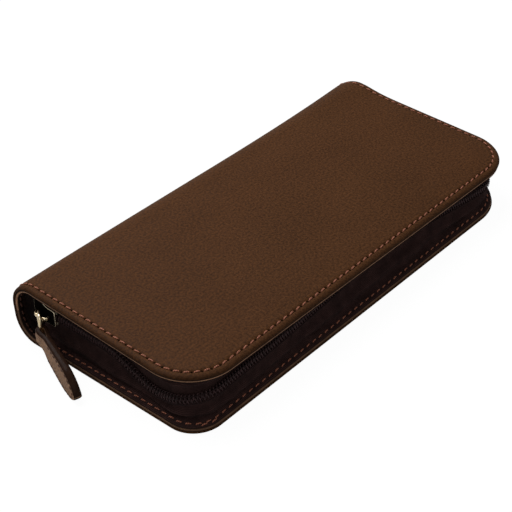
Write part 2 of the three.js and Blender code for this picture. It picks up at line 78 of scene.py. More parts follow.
# ---- dimensions taken from the frame
HALF = box_mm("back_leather")[1][0]
OPEN_Y = box_mm("back_leather")[0][1]
SPINE_Y = box_mm("spine_leather")[1][1]
BACK_PIVOT = pivot_mm("spine_fold")
FRONT_PIVOT = pivot_mm("cover_fold")
BACK_SWEEP = math.pi / 2
FRONT_SWEEP = math.radians(JOINTS["cover_fold"]["range_deg"][1])
TILT = FRONT_SWEEP - math.pi / 2


def bend_radius(pivot_y, sweep):
    """Outer radius of a bend whose leather keeps its length when it opens flat about its hinge line."""
    return (SPINE_Y - pivot_y) / (1 - sweep / (2 * math.tan(sweep / 2)))


BACK_R = bend_radius(BACK_PIVOT[1], BACK_SWEEP)
FRONT_R = bend_radius(FRONT_PIVOT[1], FRONT_SWEEP)

# ---- dimensions of the visual model
# Corner radii are near and far. Trims are cut off the near end, the far end and the opening edge.
BACK_CORNERS = (12.1, 22.6)
FRONT_CORNERS = (19.2, 19.5)
BACK_TRIM = (0.2, 1.1, 0.6)
FRONT_TRIM = (0, 0, 0.3)
# Depths of the outer face, the layer seam and the inner face at a cut edge.
BACK_RIM = (0.25, 1.05, 1.85)
FRONT_RIM = (1.0, 1.85, 2.9)
SPINE_RIM = (0.4, 1.45, 2.5)
RIM_REACH = 4.4
PANEL_T = 3.0
SKIN_T = 1.5
LAYER_GAP = 0.03
STITCH_INSET = 2.7
STITCH_PITCH = 3.4
SAMPLES_PER_STITCH = 4
CORE_INSET = 12
BOARD_CORNER_R = 12
WALL_END_Y = 35.5


def smoothstep(low, high, value):
    t = np.clip((np.asarray(value, float) - low) / (high - low), 0, 1)
    return t * t * (3 - 2 * t)


def bell(value, centre, width):
    return np.exp(-(((np.asarray(value, float) - centre) / width) ** 2))


def soft_noise(points, size, seed=0):
    """Smooth noise in -1..1 over points, with features of the given size."""
    shift = Vector((seed * 17.3, seed * 5.1, seed * 9.7))
    return np.array([noise.noise(Vector(p) / size + shift) for p in points])


def unit(vectors):
    return vectors / np.linalg.norm(vectors, axis=-1, keepdims=True)


def tangents(points, closed=False):
    if closed:
        return unit(np.roll(points, -1, axis=0) - np.roll(points, 1, axis=0))
    return unit(np.gradient(points, axis=0))


def run_length(points):
    """Length along a line of points up to each of them."""
    steps = np.linalg.norm(np.diff(points, axis=0), axis=-1)
    return np.concatenate([np.zeros((1, *steps.shape[1:])), np.cumsum(steps, axis=0)])


def at_lengths(points, at):
    """Plan points at given lengths along a line of plan points."""
    length = run_length(points)
    return np.stack([np.interp(at, length, points[:, k]) for k in (0, 1)], -1)


# ---- covers
class Cover:
    """A cover's outer face as a sheet: flat from the opening edge, then bent, then up the spine wall."""

    def __init__(self, name, start, turn, outer, flat, radius, sweep, corners, trim, rim):
        self.name = name
        self.start = np.array(start)
        self.along = np.array([math.cos(turn), math.sin(turn)])
        self.normal = outer * np.array([-math.sin(turn), math.cos(turn)])
        self.flat = flat
        self.radius = radius
        self.sweep = sweep
        self.bend_end = flat + radius * sweep
        self.length = self.bend_end + HALF_WALL
        self.corners = corners
        self.reach = (HALF - trim[0], HALF - trim[1])
        self.first = trim[2]
        self.rim = rim

    def section(self, s):
        """Point, direction and outward normal in the Y-Z plane at each s."""
        s = np.asarray(s, float)[..., None]
        angle = np.clip((s - self.flat) / self.radius, 0, self.sweep)
        normal = self.normal * np.cos(angle) + self.along * np.sin(angle)
        along = self.along * np.cos(angle) - self.normal * np.sin(angle)
        point = self.start + self.along * np.minimum(s, self.flat)
        point = point + self.radius * (normal - self.normal)
        return point + along * np.maximum(s - self.bend_end, 0), along, normal

    def place(self, x, s, depth):
        """Points in space, at a depth below the outer face; the trims fade out towards the spine."""
        point, _, normal = self.section(s)
        yz = point - normal * np.asarray(depth, float)[..., None]
        x = np.asarray(x, float)
        trimmed = HALF / np.where(x < 0, *self.reach) - 1
        x = x * (1 + trimmed * smoothstep(self.flat - 8, self.length, s))
        return np.concatenate([x[..., None], yz], axis=-1)

    def edge_inset(self, x, s):
        """Distance inwards from the cut edge, and the inward direction, at each (x, s)."""
        r = np.where(x < 0, *self.corners)
        reach = np.where(x < 0, *self.reach)
        dx = np.abs(x) - (reach - r)
        ds = self.first + r - s
        distance = np.maximum(np.hypot(dx, ds), 1e-6)
        in_corner = (dx > 0) & (ds > 0)
        by_end = reach - np.abs(x) < s - self.first
        inset = np.where(in_corner, r - distance, np.minimum(reach - np.abs(x), s - self.first))
        to_middle = np.where(in_corner, dx / distance, by_end) * -np.sign(x)
        return inset, to_middle, np.where(in_corner, ds / distance, ~by_end)

    def layer_depth(self, layer, inset, s):
        """Depth of the outer face (0), layer seam (1) or inner face (2), which dip towards the cut edge."""
        spine = smoothstep(self.flat - 8, self.bend_end, s)
        at_rim = self.rim[layer] * (1 - spine) + SPINE_RIM[layer] * spine
        inside = (0, SKIN_T, PANEL_T)[layer]
        return inside + (at_rim - inside) * np.clip(1 - inset / RIM_REACH, 0, 1) ** 2

    def corner(self, x, r, first, eighth):
        """Points and inward normals round a corner centred at x, starting at an angle of first half turns."""
        parts = []
        for k in range(2 * eighth):
            a = math.pi * (first + 0.25 * k / eighth)
            s = self.first + r + r * math.sin(a)
            parts.append((x + r * math.cos(a), s, -math.cos(a), -math.sin(a)))
        return parts

    def outline(self):
        """(x, s) round the open side and the inward normals, sampled evenly along the stitch line.

        Both ends get the same number of points from the spine to the middle of their corners, which is
        the last value.
        """
        step = STITCH_PITCH / SAMPLES_PER_STITCH
        near, far = self.corners
        left, right = -self.reach[0], self.reach[1]
        low = self.first
        eighths = [max(1, round((r - STITCH_INSET) * math.pi / 4 / step)) for r in self.corners]
        turn = eighths[0] + round((self.length - low - near) / step)
        near_run, far_run = turn - eighths[0], turn - eighths[1]
        long_run = right - left - near - far
        longs = round(long_run / step)
        parts = []
        for k in range(near_run):
            parts.append((left, self.length + (low + near - self.length) * k / near_run, 1, 0))
        parts += self.corner(left + near, near, 1, eighths[0])
        parts += [(left + near + long_run * k / longs, low, 0, 1) for k in range(longs)]
        parts += self.corner(right - far, far, 1.5, eighths[1])
        for k in range(far_run + 1):
            parts.append((right, low + far + (self.length - low - far) * k / far_run, -1, 0))
        parts = np.array(parts)
        return parts[:, :2], parts[:, 2:], turn


back_wall_start = BACK_PIVOT[2] + BACK_R * BACK_SWEEP / 2
front_wall_start = FRONT_PIVOT[2] - FRONT_R * FRONT_SWEEP / 2
HALF_WALL = (front_wall_start - back_wall_start) / 2
front_bend_y = SPINE_Y - FRONT_R - FRONT_R * math.sin(TILT)
front_bend_z = front_wall_start + FRONT_R * math.cos(TILT)
FRONT_FLAT = (front_bend_y - OPEN_Y) / math.cos(TILT)
front_start = (OPEN_Y, front_bend_z - FRONT_FLAT * math.sin(TILT))
back = Cover("back", (OPEN_Y, 0), 0, -1, SPINE_Y - BACK_R - OPEN_Y, BACK_R, BACK_SWEEP,
             BACK_CORNERS, BACK_TRIM, BACK_RIM)
front = Cover("front", front_start, TILT, 1, FRONT_FLAT, FRONT_R, FRONT_SWEEP,
              FRONT_CORNERS, FRONT_TRIM, FRONT_RIM)


def spine_blend(piece, cover, depth):
    """Works out where its cover's spine bend starts and ends at the piece's depth, which nothing uses, and
    bakes the piece's transform into its mesh.
    """
    start, end = (Vector((cover.place(0, s, depth) * MM).tolist()) for s in (cover.flat, cover.bend_end))
    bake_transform(piece)


def hand_over(piece, slot, body, *nodes):
    """Hides the CAD nodes a piece stands for and, unless it is blended, gives it its body; its slot is not
    used.
    """
    if nodes:
        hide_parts(*nodes)
    if body:
        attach(piece, body)


FRONT_ROLL = 1.1
SPINE_BULGE = 2.7
SPINE_DENT = 0.4


def settle(points):
    """How the filled pouch lies: its front cover lower at the far end, its spine fuller there."""
    settled = np.array(points, float).reshape(-1, 3)
    end = settled[:, 0] / HALF
    y, z = settled[:, 1], settled[:, 2]
    high = smoothstep(PANEL_T, front_start[1] - PANEL_T, z)
    bulge = SPINE_BULGE * np.clip(end, 0, 1) ** 2.5 - SPINE_DENT * np.clip(-end, 0, 1) ** 2
    settled[:, 2] += high * (0.5 * bulge * bell(y, SPINE_Y - FRONT_R, 9) - FRONT_ROLL * end)
    settled[:, 1] += bulge * smoothstep(SPINE_Y - 16, SPINE_Y, y) * smoothstep(0, 8, z)
    return settled


# ---- mesh building
def add_mesh(name, points, faces, materials, uv=None, masks=None):
    """A mesh object from points in millimetres, settled like the rest, with its faces turned outwards."""
    mesh = bpy.data.meshes.new(name)
    mesh.from_pydata((settle(points) * MM).tolist(), [], faces)
    for material in materials:
        mesh.materials.append(material)
    work = bmesh.new()
    work.from_mesh(mesh)
    bmesh.ops.recalc_face_normals(work, faces=work.faces)
    work.to_mesh(mesh)
    work.free()
    mesh.polygons.foreach_set("use_smooth", [True] * len(mesh.polygons))
    if uv is not None:
        loops = np.zeros(len(mesh.loops), np.int32)
        mesh.loops.foreach_get("vertex_index", loops)
        layer = mesh.uv_layers.new(name="UVMap")
        layer.data.foreach_set("uv", np.asarray(uv, np.float32).reshape(-1, 2)[loops].ravel())
    for mask, values in (masks or {}).items():
        attribute = mesh.attributes.new(mask, "FLOAT", "POINT")
        attribute.data.foreach_set("value", np.asarray(values, np.float32).ravel())
    mesh.update()
    obj = bpy.data.objects.new(name, mesh)
    bpy.context.scene.collection.objects.link(obj)
    return obj


def sharpen(obj, degrees):
    """Keeps edges sharper than an angle crisp under smooth shading."""
    obj.data.set_sharp_from_angle(angle=math.radians(degrees))
    return obj


def grid_faces(index):
    """Quads between the neighbours in a table of point numbers."""
    corners = (index[:-1, :-1], index[:-1, 1:], index[1:, 1:], index[1:, :-1])
    return np.stack(corners, -1).reshape(-1, 4).tolist()


def tube_faces(stations, around, start=0, closed=False):
    """Faces of a tube of rings, capped at both ends unless its ends join."""
    faces = []
    for r in range(stations if closed else stations - 1):
        a = start + r * around
        b = start + (r + 1) % stations * around
        for c in range(around):
            d = (c + 1) % around
            faces.append((a + c, b + c, b + d, a + d))
    if not closed:
        faces.append(tuple(range(start, start + around)))
        faces.append(tuple(range(start + stations * around - 1, start + (stations - 1) * around - 1, -1)))
    return faces


def loft(name, rings, materials, uv=None, masks=None, closed=False):
    """A closed body through rings of points, shaped stations x around x 3."""
    rings = np.asarray(rings, float)
    faces = tube_faces(rings.shape[0], rings.shape[1], closed=closed)
    return add_mesh(name, rings, faces, materials, uv, masks)


def wire_rings(points, radius, up, around=6, closed=False):
    """Rings of a round wire along points; up is any direction not along the wire."""
    along = tangents(points, closed)
    side = unit(np.cross(along, np.broadcast_to(up, points.shape)))[:, None]
    top = np.cross(side, along[:, None])
    angle = np.linspace(0, 2 * math.pi, around, endpoint=False)[:, None]
    return points[:, None] + radius * (side * np.cos(angle) + top * np.sin(angle))


def thick_sheet(name, grid, thickness, material, uv):
    """A closed sheet round a grid of points (stations x across), with rounded long edges."""
    normal = unit(np.cross(np.gradient(grid, axis=0), np.gradient(grid, axis=1)))
    lead, tail = unit(grid[:, :1] - grid[:, 1:2]), unit(grid[:, -1:] - grid[:, -2:-1])
    half = thickness / 2
    top = grid + normal * half
    low = grid - normal * half
    ring = [top, grid[:, -1:] + tail * half * 0.8, low[:, ::-1], grid[:, :1] + lead * half * 0.8]
    uv = np.concatenate([uv, uv[:, -1:], uv[:, ::-1], uv[:, :1]], axis=1)
    return sharpen(loft(name, np.concatenate(ring, axis=1), [material], uv), 75)


def rounded_box(x0, x1, y0, y1, r, steps=6):
    """Outline of a rounded rectangle, anticlockwise."""
    points = []
    centres = ((x1 - r, y0 + r), (x1 - r, y1 - r), (x0 + r, y1 - r), (x0 + r, y0 + r))
    for (cx, cy), first in zip(centres, (-90, 0, 90, 180)):
        for a in np.radians(np.linspace(first, first + 90, steps)):
            points.append((cx + r * math.cos(a), cy + r * math.sin(a)))
    return np.array(points)


def arris(low, high, r):
    """Rows (inset, height) of a plate from its low face to its high face, with rounded arrises."""
    rows = [(1.6 * r, low), (r, low)]
    for a in np.radians((30, 60, 90)):
        rows.append((r * (1 - math.sin(a)), low + r * (1 - math.cos(a))))
    for a in np.radians((90, 60, 30)):
        rows.append((r * (1 - math.sin(a)), high - r * (1 - math.cos(a))))
    return rows + [(r, high), (1.6 * r, high)]


def slab(name, outline, rows, place, material):
    """A closed plate: an outline drawn at each row's inset and height, worn half way between its faces."""
    outline = np.asarray(outline, float)
    along = np.roll(outline, -1, axis=0) - np.roll(outline, 1, axis=0)
    inward = unit(np.stack([-along[:, 1], along[:, 0]], -1))
    flats = [outline + inward * inset for inset, _ in rows]
    rings = [place(*flat.T, np.full(len(flat), float(row[1]))) for flat, row in zip(flats, rows)]
    worn = bell(np.arange(len(rows)), (len(rows) - 1) / 2, len(rows) / 3.4)
    masks = {"wear_and_painted_light": np.repeat(worn, len(outline))}
    return sharpen(loft(name, np.stack(rings), [material], np.stack(flats), masks), 50)


def frame_place(origin, x_axis, y_axis):
    """A function that places local (x, y, z) millimetres in a frame given by two of its axes."""
    origin, x_axis, y_axis = (np.asarray(v, float) for v in (origin, x_axis, y_axis))
    z_axis = np.cross(x_axis, y_axis)

    def place(x, y, z):
        x, y, z = (np.asarray(v, float)[..., None] for v in np.broadcast_arrays(x, y, z))
        return origin + x * x_axis + y * y_axis + z * z_axis
    return place


def join(name, pieces):
    """Joins objects into one, keeping the first one's materials."""
    work = bmesh.new()
    for piece in pieces:
        work.from_mesh(piece.data)
    first = pieces[0]
    work.to_mesh(first.data)
    work.free()
    for piece in pieces[1:]:
        bpy.data.objects.remove(piece)
    first.name = first.data.name = name
    return sharpen(first, 40)


# ---- leather skins
class Skin:
    """A leather layer of a cover: rings round its open side, and a grid on each face inside them.

    Each row is (inset, layer, below, edge tint, shown): a ring lies below millimetres under one of the
    cover's layer depths. The edge tint is partly burnished and worn edge, partly painted light on the rim.
    shown is 1 on the face that is seen, which carries the stitch holes and any padding.
    """

    def __init__(self, cover, rows, dimple, swell=0):
        self.cover = cover
        self.rows = rows
        self.dimple = dimple
        self.swell = swell

    def build(self, name, material):
        """The closed mesh, with the flat sheet as its uv, which runs on from the back to the front cover."""
        cover = self.cover
        base, inward, turn = cover.outline()
        n = len(base)
        outwards = 1 if self.rows[0][4] else -1
        hole_wave = (0.5 + 0.5 * np.cos(2 * math.pi * np.arange(n) / SAMPLES_PER_STITCH)) ** 2
        points, uv, wear_and_painted_light, holes = [], [], [], []

        def add(row, flat, drawn, hole, padding):
            inset, layer, below, worn, shown = row
            depth = cover.layer_depth(layer, inset, flat[:, 1]) + below
            depth = depth + outwards * self.dimple * hole - shown * padding
            points.append(cover.place(flat[:, 0], flat[:, 1], depth))
            uv.append(drawn)
            wear_and_painted_light.append(np.full(len(flat), worn))
            holes.append(hole)

        for row in self.rows:
            inset, layer, below, _, shown = row
            flat = base + inward * inset
            down_the_edge = layer + below if inset < 1 else 0
            hole = shown * bell(inset, STITCH_INSET, 0.5) * hole_wave
            add(row, flat, base + inward * (inset - down_the_edge), hole, self.padding(flat, inset))
        last = len(self.rows) - 1
        faces = grid_faces(np.arange(len(self.rows) * n).reshape(-1, n))
        ends = []
        for r in (0, last):
            start = sum(len(part) for part in points)
            index, extra = self.core(r, n, turn, base + inward * CORE_INSET, start)
            edge = cover.edge_inset(extra[:, 0], extra[:, 1])[0]
            add(self.rows[r], extra, extra, np.zeros(len(extra)), self.padding(extra, edge))
            faces += grid_faces(index)
            ends.append(index[0].tolist())
        rim_near = [r * n for r in range(1, last)]
        rim_far = [r * n + n - 1 for r in range(1, last)]
        faces.append(tuple(ends[0] + rim_far + ends[1][::-1] + rim_near[::-1]))
        uv = np.concatenate(uv)
        if cover is front:
            uv = uv * (1, -1) + (0, front.length + back.length)
        masks = {"wear_and_painted_light": np.concatenate(wear_and_painted_light), "hole": np.concatenate(holes)}
        return sharpen(add_mesh(name, np.concatenate(points), faces, [material], uv, masks), 62)

    def padding(self, flat, edge):
        """How far the padding lifts the leather: nothing at the stitches, most in the middle."""
        if not self.swell:
            return np.zeros(len(flat))
        share = 0.65 * smoothstep(STITCH_INSET + 0.5, 11, edge) + 0.35 * smoothstep(9, 36, edge)
        waves = 1 + 0.35 * soft_noise([(*p, 0) for p in flat], 34, 3)
        before_bend = 1 - smoothstep(self.cover.flat - 14, self.cover.flat, flat[:, 1])
        return self.swell * share * waves * before_bend

    def core(self, row, n, turn, rim, start):
        """The grid inside a ring: its table of point numbers and its new (x, s) points."""
        left, right, bottom = rim[:turn + 1], rim[::-1][:turn + 1], rim[turn:n - turn]
        columns = len(bottom)
        u = np.linspace(0, 1, columns)[None, :, None]
        v = np.linspace(0, 1, turn + 1)[:, None, None]
        top = left[0] * (1 - u[0]) + right[0] * u[0]
        corners = ((1 - u) * (1 - v) * left[0] + u * (1 - v) * right[0]
                   + (1 - u) * v * left[-1] + u * v * right[-1])
        grid = (1 - v) * top[None] + v * bottom[None] + (1 - u) * left[:, None] + u * right[:, None] - corners
        index = np.zeros((turn + 1, columns), int)
        index[:-1, 1:-1] = start + np.arange(turn * (columns - 2)).reshape(turn, columns - 2)
        index[:, 0] = row * n + np.arange(turn + 1)
        index[:, -1] = row * n + n - 1 - np.arange(turn + 1)
        index[-1] = row * n + turn + np.arange(columns)
        return index, grid[:-1, 1:-1].reshape(-1, 2)


FACE_INSETS = (CORE_INSET, 9.5, 7.5, 6.0, 4.9, 4.1, 3.5, 3.1, 2.7, 2.3, 1.9, 1.5, 1.1, 0.8)
GROOVE_DEPTH = 0.26
BOARD_SKIN_T = 1.25
LINING_TOP = 2.05
LINING_MIDDLE = (LINING_TOP + PANEL_T) / 2
RIM_TUCK = 0.25
BURNISHED_AND_SHADED = (0.4, 1.7)


def rounded_edge(first_layer, below, inset, radii, wear_and_painted_light):
    """Rows down a cut edge from a layer depth to the next one, both arrises rounded."""
    rows = []
    for a in np.radians((25, 45, 65, 90)):
        across, down = radii[0] * (1 - math.sin(a)), radii[0] * (1 - math.cos(a))
        rows.append((inset + across, first_layer, below + down, wear_and_painted_light[0], 0))
    for a in np.radians((90, 60, 30)):
        across, down = radii[1] * (1 - math.sin(a)), radii[1] * (1 - math.cos(a))
        rows.append((inset + across, first_layer + 1, -down, wear_and_painted_light[1], 0))
    return rows


def groove_depth(inset):
    return GROOVE_DEPTH * bell(inset, STITCH_INSET, 0.55)


def outer_rows(burnish_and_shade):
    """Rows of the outer leather, with its rim darkened by the given share: partly a burnished edge, partly
    painted shade on the rolled rim.
    """
    rows = []
    for inset in FACE_INSETS:
        worn = burnish_and_shade * float(1 - smoothstep(*BURNISHED_AND_SHADED, inset))
        rows.append((inset, 0, groove_depth(inset), worn, 1))
    rows += rounded_edge(0, 0, 0, (0.6, 0.35), (burnish_and_shade, burnish_and_shade))
    over_board = BOARD_SKIN_T - SKIN_T
    hidden = ((1.2, 0), (4.5, 0), (6.6, over_board), (CORE_INSET, over_board))
    return rows + [(inset, 1, below, 0, 0) for inset, below in hidden]


def lining_rows(worn):
    """Rows of the lining, with its cut edge lightened by the given share: partly its pale leather core,
    partly a painted highlight along the arris.
    """
    under_board = LINING_TOP - SKIN_T
    hidden = ((CORE_INSET, under_board), (6.6, under_board), (4.5, LAYER_GAP), (1.2, LAYER_GAP))
    rows = [(inset, 1, below, 0, 0) for inset, below in hidden]
    rows += rounded_edge(1, LAYER_GAP, RIM_TUCK, (0.3, 0.35), (0.0, worn))
    return rows + [(inset, 2, -groove_depth(inset), 0, 1) for inset in FACE_INSETS[::-1]]


# ---- stitches
STITCH_SIZE = (2.45, 0.66, 0.5)
STITCH_SLANT = math.radians(9)


def stitch_row(name, centres, alongs, normals, material, size=STITCH_SIZE, dark=0):
    """One closed rounded stitch at each centre, arched over the leather and sunk at both ends.

    size is (length, width, height). dark, from 0 to 1, is how far each stitch is darkened with painted shade.
    """
    length, width, height = size
    steps = np.linspace(-1, 1, 9)
    angle = np.linspace(0, 2 * math.pi, 8, endpoint=False)
    sides = np.cross(normals, alongs)
    lean = alongs * math.cos(STITCH_SLANT) + sides * math.sin(STITCH_SLANT)
    sides = sides * math.cos(STITCH_SLANT) - alongs * math.sin(STITCH_SLANT)
    thick = np.sqrt(np.clip(1 - np.abs(steps) ** 3.5, 0.06, 1))[:, None]
    lift = (height * 0.5 * (0.85 - 1.5 * steps ** 2 * np.abs(steps)))[:, None]
    along = (length / 2 * steps)[None, :, None, None] * lean[:, None, None]
    wide = (width / 2 * thick * np.cos(angle))[None, ..., None] * sides[:, None, None]
    tall = (lift + height / 2 * thick * np.sin(angle))[None, ..., None] * normals[:, None, None]
    points = centres[:, None, None] + along + wide + tall
    faces = []
    for k in range(len(centres)):
        faces += tube_faces(len(steps), len(angle), start=k * len(steps) * len(angle))
    v = np.broadcast_to(steps[:, None] * length / 2, points.shape[1:3])
    u = np.broadcast_to(angle / (2 * math.pi), points.shape[1:3])
    uv = np.broadcast_to(np.stack([u, v], -1), points.shape[:3] + (2,))
    masks = {"wear_and_painted_light": np.broadcast_to(np.reshape(dark, (-1, 1, 1)), points.shape[:3])}
    return add_mesh(name, points, faces, [material], uv.reshape(-1, 2), masks)


def cover_stitches(name, cover, depth, side, material, inset=STITCH_INSET, overlap=0):
    """Stitches along a cover's stitch line; side +1 is on its outer face, -1 on its inner face.

    With an overlap there are only that many, just past the middle of the near corner.
    """
    base, inward, turn = cover.outline()
    line = base + inward * inset
    first, last = (turn + 1, turn + 1 + overlap * SAMPLES_PER_STITCH) if overlap else (0, len(line))
    middle = np.arange(first + SAMPLES_PER_STITCH // 2, last - 1, SAMPLES_PER_STITCH)
    s = line[middle, 1]
    depths = depth(s)
    before, centres, after = (cover.place(*line[middle + k].T, depths) for k in (-1, 0, 1))
    normal = cover.section(s)[2]
    normals = np.concatenate([np.zeros((len(s), 1)), normal], axis=1) * side
    # Stitches on the inner face darken towards the spine bend: painted shade inside the spine.
    dark = smoothstep(cover.flat - 10, cover.flat, s) * (side < 0)
    return stitch_row(name, centres, unit(after - before), normals, material, dark=dark)


# ---- materials
class Shader:
    """A node material built by short calls; lengths are in millimetres of the mesh's UV map."""

    def __init__(self, name, roughness, metallic=0.0, space="UV"):
        self.material = bpy.data.materials.new(name)
        self.material.use_nodes = True
        self.tree = self.material.node_tree
        self.surface = self.tree.nodes["Principled BSDF"]
        self.set(Roughness=roughness, Metallic=metallic)
        self.space = self.node("TexCoord").outputs[space]
        if space == "Object":
            self.space = self.scaled((1 / MM,) * 3)

    def put(self, socket, value):
        if isinstance(value, bpy.types.NodeSocket):
            self.tree.links.new(value, socket)
        else:
            socket.default_value = value

    def node(self, kind, *values, **named):
        """A node with its first inputs set in order, then named inputs and, in lower case, its options."""
        made = self.tree.nodes.new("ShaderNode" + kind)
        for socket, value in zip(made.inputs, values):
            self.put(socket, value)
        for key, value in named.items():
            if key.islower():
                setattr(made, key, value)
            else:
                self.put(made.inputs[key], value)
        return made

    def scaled(self, scale):
        return self.node("VectorMath", self.space, scale, operation="MULTIPLY").outputs[0]

    def noise(self, size, detail, roughness=0.55, stretch=(1, 1, 1)):
        """Noise in 0..1 with features of a size in millimetres."""
        vector = self.scaled(tuple(k / size for k in stretch))
        made = self.node("TexNoise", Vector=vector, Scale=1.0, Detail=detail, Roughness=roughness)
        return made.outputs["Fac"]

    def cells(self, size, stretch):
        """Distance to the edges of cells of a size in millimetres."""
        vector = self.scaled(tuple(k / size for k in stretch))
        made = self.node("TexVoronoi", Vector=vector, Scale=1.0, feature="DISTANCE_TO_EDGE")
        return made.outputs["Distance"]

    def wave(self, pitch, direction="X"):
        """Parallel ribs, one per pitch in millimetres."""
        scale = math.pi / (10 * pitch)
        made = self.node("TexWave", Vector=self.space, Scale=scale, bands_direction=direction)
        return made.outputs["Fac"]

    def mask(self, name):
        return self.node("Attribute", attribute_name=name).outputs["Fac"]

    def level(self, value, low, high, to_low=0.0, to_high=1.0):
        """Maps low..high to to_low..to_high, clamped."""
        return self.node("MapRange", value, low, high, to_low, to_high).outputs[0]

    def maths(self, operation, first, second):
        return self.node("Math", first, second, operation=operation).outputs[0]

    def times(self, first, second):
        return self.maths("MULTIPLY", first, second)

    def mix(self, share, first, second):
        made = self.node("Mix", share, data_type="RGBA")
        for socket, colour in zip(made.inputs[6:8], (first, second)):
            self.put(socket, colour if isinstance(colour, bpy.types.NodeSocket) else (*colour, 1))
        return made.outputs[2]

    def bump(self, height, depth, under=None):
        """Bump of a depth in millimetres over any bump already made."""
        made = self.node("Bump", Height=height, Strength=1.0, Distance=depth * MM)
        if under is not None:
            self.put(made.inputs["Normal"], under)
        return made.outputs["Normal"]

    def set(self, **inputs):
        for key, value in inputs.items():
            self.put(self.surface.inputs[key.replace("_", " ")], value)
        return self.material


def srgb(red, green, blue):
    """Linear colour from display values in 0..255."""
    shares = (c / 255 for c in (red, green, blue))
    return tuple(c / 12.92 if c < 0.0405 else ((c + 0.055) / 1.055) ** 2.4 for c in shares)


def leather(name, dark, light, edge, roughness, gloss):
    """Smooth full-grain leather: fine pebbled grain, broad mottling, darker stitch holes, and rims tinted
    towards an edge colour: burnished and worn edges, with painted shade on dark rims and painted highlight on
    pale ones.
    """
    shade = Shader(name, roughness)
    broad = shade.level(shade.noise(30, 3), 0.3, 0.7)
    fine = shade.level(shade.noise(0.9, 3, 0.6), 0.36, 0.64)
    mottled = shade.maths("ADD", shade.times(broad, 0.2), shade.times(fine, 0.8))
    colour = shade.mix(mottled, dark, light)
    # The edge mask mixes in the edge colour: painted shade on the outer leather's rolled rim, painted
    # highlight on the lining's cut edge, besides burnished and worn edges.
    wear_and_painted_light = shade.mask("wear_and_painted_light")
    patchy = shade.times(wear_and_painted_light, shade.level(shade.noise(3.5, 3), 0.25, 0.6, 0.55, 1.0))
    colour = shade.mix(patchy, colour, edge)
    hole = shade.level(shade.mask("hole"), 0.3, 0.8)
    colour = shade.mix(hole, colour, tuple(c * 0.06 for c in dark))
    shine = shade.level(hole, 0.0, 1.0, gloss, 0.0)
    pores = shade.bump(shade.level(shade.cells(0.62, (1, 1.25, 1)), 0.0, 0.3), 0.018)
    folds = shade.bump(shade.noise(5, 3, 0.6), 0.16, pores)
    rough = shade.level(fine, 0.0, 1.0, roughness - 0.06, roughness + 0.08)
    return shade.set(Base_Color=colour, Roughness=rough, Normal=folds, Specular_IOR_Level=shine)


def woven(name, dark, light, pitch, roughness=0.85):
    """Ribbed woven tape: ribs across the tape, threads between them and a dusty sheen."""
    shade = Shader(name, roughness)
    ribs = shade.wave(pitch)
    threads = shade.wave(pitch * 0.6, "Y")
    weave = shade.times(ribs, shade.level(threads, 0, 1, 0.6, 1.0))
    colour = shade.mix(shade.times(weave, shade.level(shade.noise(6, 3), 0.3, 0.7)), dark, light)
    soft = shade.bump(shade.noise(4, 3), 0.2, shade.bump(weave, 0.09))
    return shade.set(Base_Color=colour, Normal=soft, Sheen_Weight=0.01, Sheen_Roughness=0.5,
                     Specular_IOR_Level=0.02)


def thread_material(name, dark, light):
    """Twisted waxed thread: strands that wind round each stitch."""
    shade = Shader(name, 0.6)
    wound = shade.node("TexWave", Vector=shade.scaled((1, 1, 1)), Scale=0.85, bands_direction="DIAGONAL")
    strands = wound.outputs["Fac"]
    worn = shade.level(shade.noise(9, 2), 0.3, 0.7, 0.6, 1)
    colour = shade.mix(shade.times(shade.level(strands, 0.1, 0.8), worn), dark, light)
    # The stitch mask darkens a stitch towards near black: painted shade.
    colour = shade.mix(shade.times(shade.mask("wear_and_painted_light"), 0.8), colour, tuple(c * 0.2 for c in dark))
    return shade.set(Base_Color=colour, Normal=shade.bump(strands, 0.05), Specular_IOR_Level=0.2)


def plated_metal(name, dull, bright, patchy, lacquered=False):
    """Plated metal, polished bright along its edges, with faint scratches; its faces may be lacquered."""
    shade = Shader(name, 0.2, 1.0, "Object")
    patches = shade.level(shade.noise(1.6, 3), 0.3, 0.7, 0, patchy)
    scratches = shade.noise(0.5, 2, 0.6, (0.2, 3, 3))
    # On metal the edge mask marks only polished, worn edges.
    polish = shade.level(shade.mask("wear_and_painted_light"), 0.2, 0.8)
    colour = shade.mix(shade.maths("MAXIMUM", polish, patches), dull, bright)
    if lacquered:
        shade.set(Metallic=polish, Specular_IOR_Level=0.0)
    return shade.set(Base_Color=colour, Roughness=shade.level(scratches, 0.3, 0.8, 0.1, 0.28),
                     Normal=shade.bump(scratches, 0.006))


def coil_plastic():
    """Moulded nylon, dark purple-brown, with a soft shine that varies from tooth to tooth."""
    shade = Shader("coil_nylon", 0.5, 0.0, "Object")
    tone = shade.level(shade.noise(1.3, 2), 0.3, 0.7)
    colour = shade.mix(tone, srgb(30, 18, 18), srgb(58, 38, 38))
    rough = shade.level(shade.noise(0.5, 2), 0.3, 0.7, 0.4, 0.55)
    return shade.set(Base_Color=colour, Roughness=rough, Normal=shade.bump(shade.noise(0.25, 2), 0.01),
                     Specular_IOR_Level=0.16)


def painted_edge():
    """Glossy dark edge paint on the pull tab."""
    shade = Shader("painted_edge", 0.4)
    colour = shade.mix(shade.noise(2, 3), srgb(22, 12, 8), srgb(46, 30, 22))
    rough = shade.level(shade.noise(5, 2), 0.3, 0.7, 0.16, 0.36)
    return shade.set(Base_Color=colour, Roughness=rough, Normal=shade.bump(shade.noise(1.4, 3), 0.09),
                     Specular_IOR_Level=0.03)


def board_material():
    """Uncoated grey-brown stiffening board with short fibres."""
    shade = Shader("stiffening_board", 0.9, 0.0, "Object")
    fibres = shade.noise(0.8, 4, 0.7, (0.3, 2, 1))
    colour = shade.mix(fibres, srgb(118, 104, 86), srgb(152, 138, 116))
    return shade.set(Base_Color=colour, Normal=shade.bump(fibres, 0.05))


